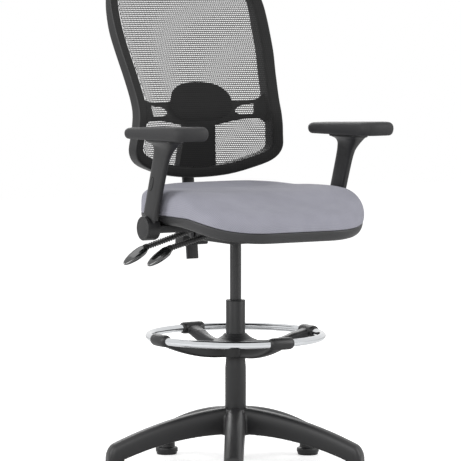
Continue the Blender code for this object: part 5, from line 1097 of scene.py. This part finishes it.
def surface_y(x, z):
    """Front surface of the back: curved in side view and hollow in plan."""
    side = float(np.interp(z / BACK_HEIGHT, SIDE_SHARE, SIDE_Y))
    return side + BACK_HOLLOW * (1 - min(abs(x) / BACK_HALF_WIDTH, 1.0) ** 2)


def back_outline(steps):
    """Closed outline of the frame as (x, z) points, and the inward normal at each."""
    other = [(-x, z) for x, z in reversed(BACK_OUTLINE[1:-1])]
    points = [Vector((x * BACK_HALF_WIDTH, z * BACK_HEIGHT))
              for x, z in smooth_curve(BACK_OUTLINE + other, steps, closed=True)]
    normals = []
    for i in range(len(points)):
        along = (points[(i + 1) % len(points)] - points[i - 1]).normalized()
        normals.append(Vector((-along.y, along.x)))
    return points, normals


def on_back(x, z, behind=0.0):
    return BACK_ORIGIN + Vector((x, surface_y(x, z) + behind, z))


def rim_section(height):
    trim = RIM_TOP_TRIM * smooth_step(height, RIM_TRIM_START, BACK_HEIGHT)
    outer, inner = RIM_DEPTH - trim, RIM_INNER_DEPTH - trim * 0.7
    wall = RIM_WALL
    corners = [(0.0, outer), (0.0, 0.0), (RIM_WIDTH, 0.0), (RIM_WIDTH, inner), (RIM_WIDTH - wall, inner),
               (RIM_WIDTH - wall, wall), (wall, wall), (wall, outer)]
    return rounded(corners, [0.0012, RIM_EDGE * 1.3, RIM_EDGE, 0.001, 0.001, 0.0015, 0.0015, 0.001], 4)


def bent_plate(outline, setback, thickness):
    """Extrude an (x, z) outline and bend it to lie behind the back's surface."""
    shape = bmesh.new()
    face = shape.faces.new([shape.verts.new((x, 0.0, z)) for x, z in outline])
    grown = bmesh.ops.extrude_face_region(shape, geom=[face])
    bmesh.ops.translate(shape, verts=[v for v in grown["geom"] if isinstance(v, bmesh.types.BMVert)],
                        vec=(0, thickness, 0))
    for axis, step in ((0, 0.010), (2, 0.008)):
        low = min(v.co[axis] for v in shape.verts)
        high = max(v.co[axis] for v in shape.verts)
        count = int((high - low) / step)
        for k in range(1, count + 1):
            place, normal = [0.0, 0.0, 0.0], [0.0, 0.0, 0.0]
            place[axis], normal[axis] = low + (high - low) * k / (count + 1), 1.0
            bmesh.ops.bisect_plane(shape, geom=shape.verts[:] + shape.edges[:] + shape.faces[:],
                                   dist=0.000001, plane_co=place, plane_no=normal)
    for vertex in shape.verts:
        vertex.co.y += surface_y(vertex.co.x, vertex.co.z) + setback
    bmesh.ops.recalc_face_normals(shape, faces=shape.faces)
    return moved(shape, BACK_ORIGIN)


def build_back_rim():
    points, normals = back_outline(8)
    rings = []
    for point, normal in zip(points, normals):
        ring = []
        for inward, backward in rim_section(point.y):
            x, z = point + normal * inward
            ring.append(on_back(x, z, backward))
        rings.append(ring)
    piece("back_rim", skin(rings, closed=True), "back", POLYPROPYLENE, ["back_frame"])


def build_bridge():
    """Behind the net, on the spine: two arms a side, joined in a web that ends just short of the rim."""
    half = [(0.050, 0.136), (0.110, 0.1495), (0.166, 0.1530), (0.1835, 0.1380), (0.1835, 0.2160),
            (0.168, 0.2010), (0.100, 0.1955), (0.060, 0.209)]
    outline = half + [(-x, z) for x, z in reversed(half)]
    radii = [0.02, 0.03, 0.016, 0.0, 0.0, 0.016, 0.03, 0.03]
    plate = bent_plate(rounded(outline, radii + radii[::-1], 6), BRIDGE_SETBACK, BRIDGE_THICKNESS)
    corners = [(0.152, 0.1635), (0.115, 0.1605), (0.097, 0.1715), (0.113, 0.1845), (0.156, 0.1910)]
    opening = rounded(corners, [0.004, 0.012, 0.008, 0.012, 0.004], 6)
    holes = [moved(skin([[(side * x, y, z) for x, z in opening] for y in (-0.05, 0.15)]), BACK_ORIGIN)
             for side in (-1, 1)]
    slot = block((0.0066, 0.06, 0.0306), (0, 0, 0.002), 0.0028)
    spun(slot, -SLOT_LEAN, "X")
    plate = carved(plate, moved(slot, on_back(0, SLOT_HEIGHT, BRIDGE_SETBACK)), *holes)
    piece("lumbar_bridge", plate, "back", POLYPROPYLENE, sharp=40, bevel=0.0008)


def build_spine():
    """The tapering spine below the bridge, with the boss that holds the upright bar and its cover."""
    rings = []
    for k in range(25):
        share = k / 24
        z = SPINE_FOOT + SPINE_HEIGHT * share
        half_width = SPINE_FOOT_HALF_WIDTH - SPINE_TAPER * share
        corners = rounded([(-half_width, 0.0), (half_width, 0.0), (half_width, SPINE_DEPTH),
                           (-half_width, SPINE_DEPTH)], 0.004, 4)
        rings.append([on_back(x, z, SPINE_SETBACK + back) for x, back in corners])
    half = BAR_WIDTH / 2 + COVER_WALL
    boss = []
    for k in range(9):
        z = SPINE_FOOT + BOSS_HEIGHT * k / 8
        front, rear = surface_y(0, z) + BOSS_SETBACK, bar_plane(z, -BAR_THICKNESS / 2 - GAP)
        boss.append([BACK_ORIGIN + Vector((x, y, z)) for x, y in rounded(
            [(-half, front), (half, front), (half, rear), (-half, rear)], [0, 0, 0.002, 0.002], 3)])
    piece("back_spine", merged(skin(rings), skin(boss)), "back", POLYPROPYLENE)
    piece("back_upright", welded_copy("back_bar"), "back", POWDER_COAT, ["back_bar"],
          bevel=0.0006)
    piece("upright_cover", welded_copy("bar_cover"), "back", POLYPROPYLENE, ["bar_cover"],
          bevel=0.0010)


def bar_plane(z, offset):
    """y, in the back's frame, of a plane parallel to the upright bar."""
    along = BAR_FOOT_Y + (z + BACK_ORIGIN.z - SEAT_LEVEL - BAR_FOOT) * math.tan(BAR_LEAN)
    return along - BACK_ORIGIN.y + offset / math.cos(BAR_LEAN)


def build_mesh():
    """The net over the frame: staggered six-sided holes in one stretched sheet."""
    points, normals = back_outline(6)
    edge = np.array([point + normal * (RIM_WIDTH - 0.0015) for point, normal in zip(points, normals)])
    half_pitch = NET_PITCH_X / 2
    columns = int(2 * BACK_HALF_WIDTH / half_pitch)
    rows = int(BACK_HEIGHT / NET_PITCH_Z)
    shape = bmesh.new()
    bmesh.ops.create_grid(shape, x_segments=columns, y_segments=rows, size=1.0)
    for vertex in shape.verts:
        i, j = round((vertex.co.x + 1) / 2 * columns), round((vertex.co.y + 1) / 2 * rows)
        sway = NET_PITCH_Z * NET_SWAY * (1 if (i + j) % 2 else -1)
        vertex.co = ((i - columns / 2) * half_pitch, 0.0, j * NET_PITCH_Z + sway)
    shape.faces.ensure_lookup_table()
    outside = [f for f in shape.faces if not in_outline(f.calc_center_median(), edge)]
    bmesh.ops.delete(shape, geom=outside, context="FACES")
    seams = []
    for item in shape.edges:
        a, b = item.verts
        if abs(a.co.x - b.co.x) < 1e-6 and len(item.link_faces) == 2:
            i = round(a.co.x / half_pitch + columns / 2)
            j = round((a.co.z + b.co.z) / 2 / NET_PITCH_Z - 0.5)
            if (i + j) % 2:
                seams.append(item)
    bmesh.ops.dissolve_edges(shape, edges=seams, use_verts=False)
    cells = [f for f in shape.faces if len(f.verts) == 6]
    bmesh.ops.inset_individual(shape, faces=cells, thickness=NET_THREAD / 2, use_even_offset=True)
    bmesh.ops.delete(shape, geom=cells, context="FACES")
    for vertex in shape.verts:
        vertex.co.y = surface_y(vertex.co.x, vertex.co.z) - 0.0012
    bmesh.ops.recalc_face_normals(shape, faces=shape.faces)
    moved(shape, BACK_ORIGIN)
    area = sum(f.calc_area() for f in shape.faces)
    net = piece("back_net", shape, "back", MESH_THREAD, ["back_mesh"], sharp=180)


def in_outline(point, outline):
    """Whether a point's x and z lie inside a closed outline, by counting the sides above it."""
    xs, zs = outline.T
    next_x, next_z = np.roll(xs, -1), np.roll(zs, -1)
    crossing = (xs > point.x) != (next_x > point.x)
    with np.errstate(divide="ignore", invalid="ignore"):
        height = zs + (point.x - xs) * (next_z - zs) / (next_x - xs)
    return bool(np.count_nonzero(crossing & (height > point.z)) % 2)


def build_border():
    """The hem of the net, drawn over the front of the rim."""
    points, normals = back_outline(8)
    rings = []
    for point, normal in zip(points, normals):
        ring = []
        for inward, forward in ((0.0012, -0.0045), (0.0022, -0.0018), (0.0042, 0.0002), (0.0075, 0.0011),
                                (0.014, 0.0012), (0.0205, 0.0011), (0.0245, 0.0008), (0.0272, -0.0012),
                                (0.0262, -0.0022), (0.0235, -0.0003), (0.0205, -0.0001), (0.014, 0.0),
                                (0.0075, -0.0002), (0.0048, -0.0014)):
            x, z = point + normal * inward
            ring.append(on_back(x, z, -forward - GAP))
        rings.append(ring)
    piece("back_net_border", skin(rings, closed=True), "back", KNITTED_HEM)


def build_lumbar():
    """The domed pad behind the net, with the stem that slides in the bridge's slot."""
    outline = []
    for k in range(72):
        angle = -math.pi / 2 + 2 * math.pi * k / 72
        across = abs(math.cos(angle)) ** 0.8 * math.copysign(1, math.cos(angle))
        upward = abs(math.sin(angle)) ** 0.8 * math.copysign(1, math.sin(angle))
        height = LUMBAR_HEIGHT * (0.60 if upward > 0 else 0.40)
        outline.append((LUMBAR_HALF_WIDTH * across * (1 - 0.12 * max(-upward, 0)),
                        LUMBAR_FOOT + LUMBAR_HEIGHT * 0.40 + height * upward))
    centre = LUMBAR_FOOT + LUMBAR_HEIGHT * 0.45
    rings = []
    for share, back in ((0.02, 1.0), (0.50, 1.0), (0.96, 0.95), (0.985, 0.8), (1.0, 0.5), (0.99, 0.25),
                        (0.965, 0.08), (0.93, 0.0), (0.86, -0.05), (0.82, 0.10), (0.78, 0.0),
                        (0.55, -0.15), (0.3, -0.2), (0.02, -0.2)):
        rings.append([on_back(x * share, centre + (z - centre) * share, LUMBAR_SETBACK + LUMBAR_DOME * back)
                      for x, z in outline])
    stem = merged(block((0.006, 0.019, 0.006), (0, 0.0193, 0), 0.0006),
                  block((0.022, 0.004, 0.020), (0, 0.030, 0), 0.001))
    spun(stem, -SLOT_LEAN, "X")
    whole = merged(skin(rings), moved(stem, on_back(0, SLOT_HEIGHT)))
    piece("lumbar_support", whole, "lumbar", RIBBED_SUPPORT, ["lumbar_pad"])


# --- Studio ----------------------------------------------------------------------------------
WHITE = linear("ffffff")


def build_studio():
    """A white room with five soft lamps and a floor."""
    scene = bpy.context.scene
    world = bpy.data.worlds.new("studio_world")
    world.use_nodes = True
    scene.world = world
    tree = world.node_tree
    path = node(tree, "ShaderNodeLightPath")
    seen = node(tree, "ShaderNodeMath", {0: path.outputs["Is Camera Ray"],
                                         1: path.outputs["Is Glossy Ray"]}, operation="MAXIMUM")
    seen = node(tree, "ShaderNodeMath", {0: seen.outputs[0], 1: path.outputs["Is Transmission Ray"]},
                operation="MAXIMUM")
    level = node(tree, "ShaderNodeMapRange", {"Value": seen.outputs[0], "To Min": 0.30, "To Max": 1.0})
    feed(tree, tree.nodes["Background"], {"Color": WHITE, "Strength": level.outputs["Result"]})

    # The chromed ring mirrors the white room, not the lamps, so that it keeps its grey shades.
    unlit = bpy.data.collections.new("mirrors")
    unlit.objects.link(bpy.data.objects["chrome_ring"])
    unlit.collection_objects[0].light_linking.link_state = "EXCLUDE"

    def softbox(name, place, size, energy, aim=(0, 0, 0.6)):
        lamp = bpy.data.lights.new(name, "AREA")
        lamp.shape = "RECTANGLE"
        lamp.size, lamp.size_y = size
        lamp.energy = energy
        item = bpy.data.objects.new(name, lamp)
        item.location = place
        item.rotation_euler = (Vector(place) - Vector(aim)).to_track_quat("Z", "Y").to_euler()
        scene.collection.objects.link(item)
        item.light_linking.receiver_collection = unlit

    softbox("left_softbox", (-3.3, 0.7, 1.9), (1.8, 2.6), 78, (0, 0, 0.7))
    softbox("right_softbox", (2.4, -2.2, 1.9), (1.8, 2.6), 70, (0, 0, 0.7))
    softbox("front_softbox", (-2.6, -3.2, 2.4), (2.4, 2.4), 84, (0, 0, 0.6))
    softbox("top_softbox", (0.0, 0.0, 3.3), (2.6, 2.6), 22, (0, 0, 0.5))
    softbox("rear_softbox", (1.4, 3.2, 2.2), (2.2, 1.6), 36, (0, 0, 0.7))

    shape = bmesh.new()
    bmesh.ops.create_grid(shape, x_segments=8, y_segments=8, size=9.0)
    mesh = bpy.data.meshes.new("studio_floor")
    shape.to_mesh(mesh)
    shape.free()
    floor = bpy.data.objects.new("studio_floor", mesh)
    scene.collection.objects.link(floor)
    # Matt white paint: it only catches the soft contact shadows.
    painted, tree, shader = material("studio_floor_paint", "efefef", Roughness=0.85, Specular_IOR_Level=0.0)
    path = node(tree, "ShaderNodeLightPath")
    mirrored = node(tree, "ShaderNodeMath", {0: path.outputs["Is Glossy Ray"], 1: 0.12},
                    operation="MULTIPLY")
    # Close to the chair the floor glows less, so that its contact shadows stay.
    place = node(tree, "ShaderNodeTexCoord").outputs["Object"]
    distance = node(tree, "ShaderNodeVectorMath", {0: place}, operation="LENGTH")
    strength = node(tree, "ShaderNodeMapRange", {"Value": distance.outputs["Value"], "From Min": 0.5,
                                                 "From Max": 1.6, "To Min": 0.42, "To Max": 0.85})
    level = node(tree, "ShaderNodeMath", {0: path.outputs["Is Camera Ray"], 1: strength.outputs["Result"],
                                          2: mirrored.outputs[0]}, operation="MULTIPLY_ADD")
    glow = node(tree, "ShaderNodeEmission", {"Color": WHITE, "Strength": level.outputs[0]})
    both = node(tree, "ShaderNodeAddShader", {0: shader.outputs[0], 1: glow.outputs[0]})
    feed(tree, tree.nodes["Material Output"], {"Surface": both.outputs[0]})
    mesh.materials.append(painted)
    scene.view_settings.view_transform = "Standard"


def build_camera():
    """A long lens at the sitter's right front, a little above the seat."""
    heading, distance, height = math.radians(31), 8.5, 1.297
    aim_across, aim_height = -0.013, 0.615
    toward = Vector((-math.sin(heading), -math.cos(heading), 0.0))
    across = Vector((math.cos(heading), -math.sin(heading), 0.0))
    aim = across * aim_across + Vector((0, 0, aim_height))
    place = toward * distance + Vector((0, 0, height))
    lens = bpy.data.cameras.new("camera")
    lens.lens = 260.2
    lens.clip_end = 60
    camera = bpy.data.objects.new("camera", lens)
    camera.location = place
    camera.rotation_euler = (place - aim).to_track_quat("Z", "Y").to_euler()
    bpy.context.scene.collection.objects.link(camera)
    bpy.context.scene.camera = camera


build_base()
build_column()
build_foot_ring()
build_shell()
build_board()
build_cushion()
build_mechanism()
build_lever("lift_lever", -0.040, [(0.0, 0.0, 0.0), (-0.020, 0.0, -0.003), (-0.052, 0.0, -0.0075)],
            (-0.163, 0.0, -0.0355), [(0.026, 0.022, 0.008), (0.014, 0.012, 0.004)])
build_lever("rake_lever", 0.047, [(0.0, 0.0, 0.0), (-0.020, 0.0, -0.001), (-0.062, 0.0, -0.0045)],
            (-0.183, 0.0, -0.038), [(0.030, 0.0, 0.0)])
for arm_side, arm_tag in ((-1, "right"), (1, "left")):
    build_arm_bracket(arm_side, arm_tag)
    build_arm_stalk(arm_side, arm_tag)
    build_arm_pad(arm_side, arm_tag)
build_back_rim()
build_bridge()
build_spine()
build_mesh()
build_border()
build_lumbar()
build_studio()
build_camera()
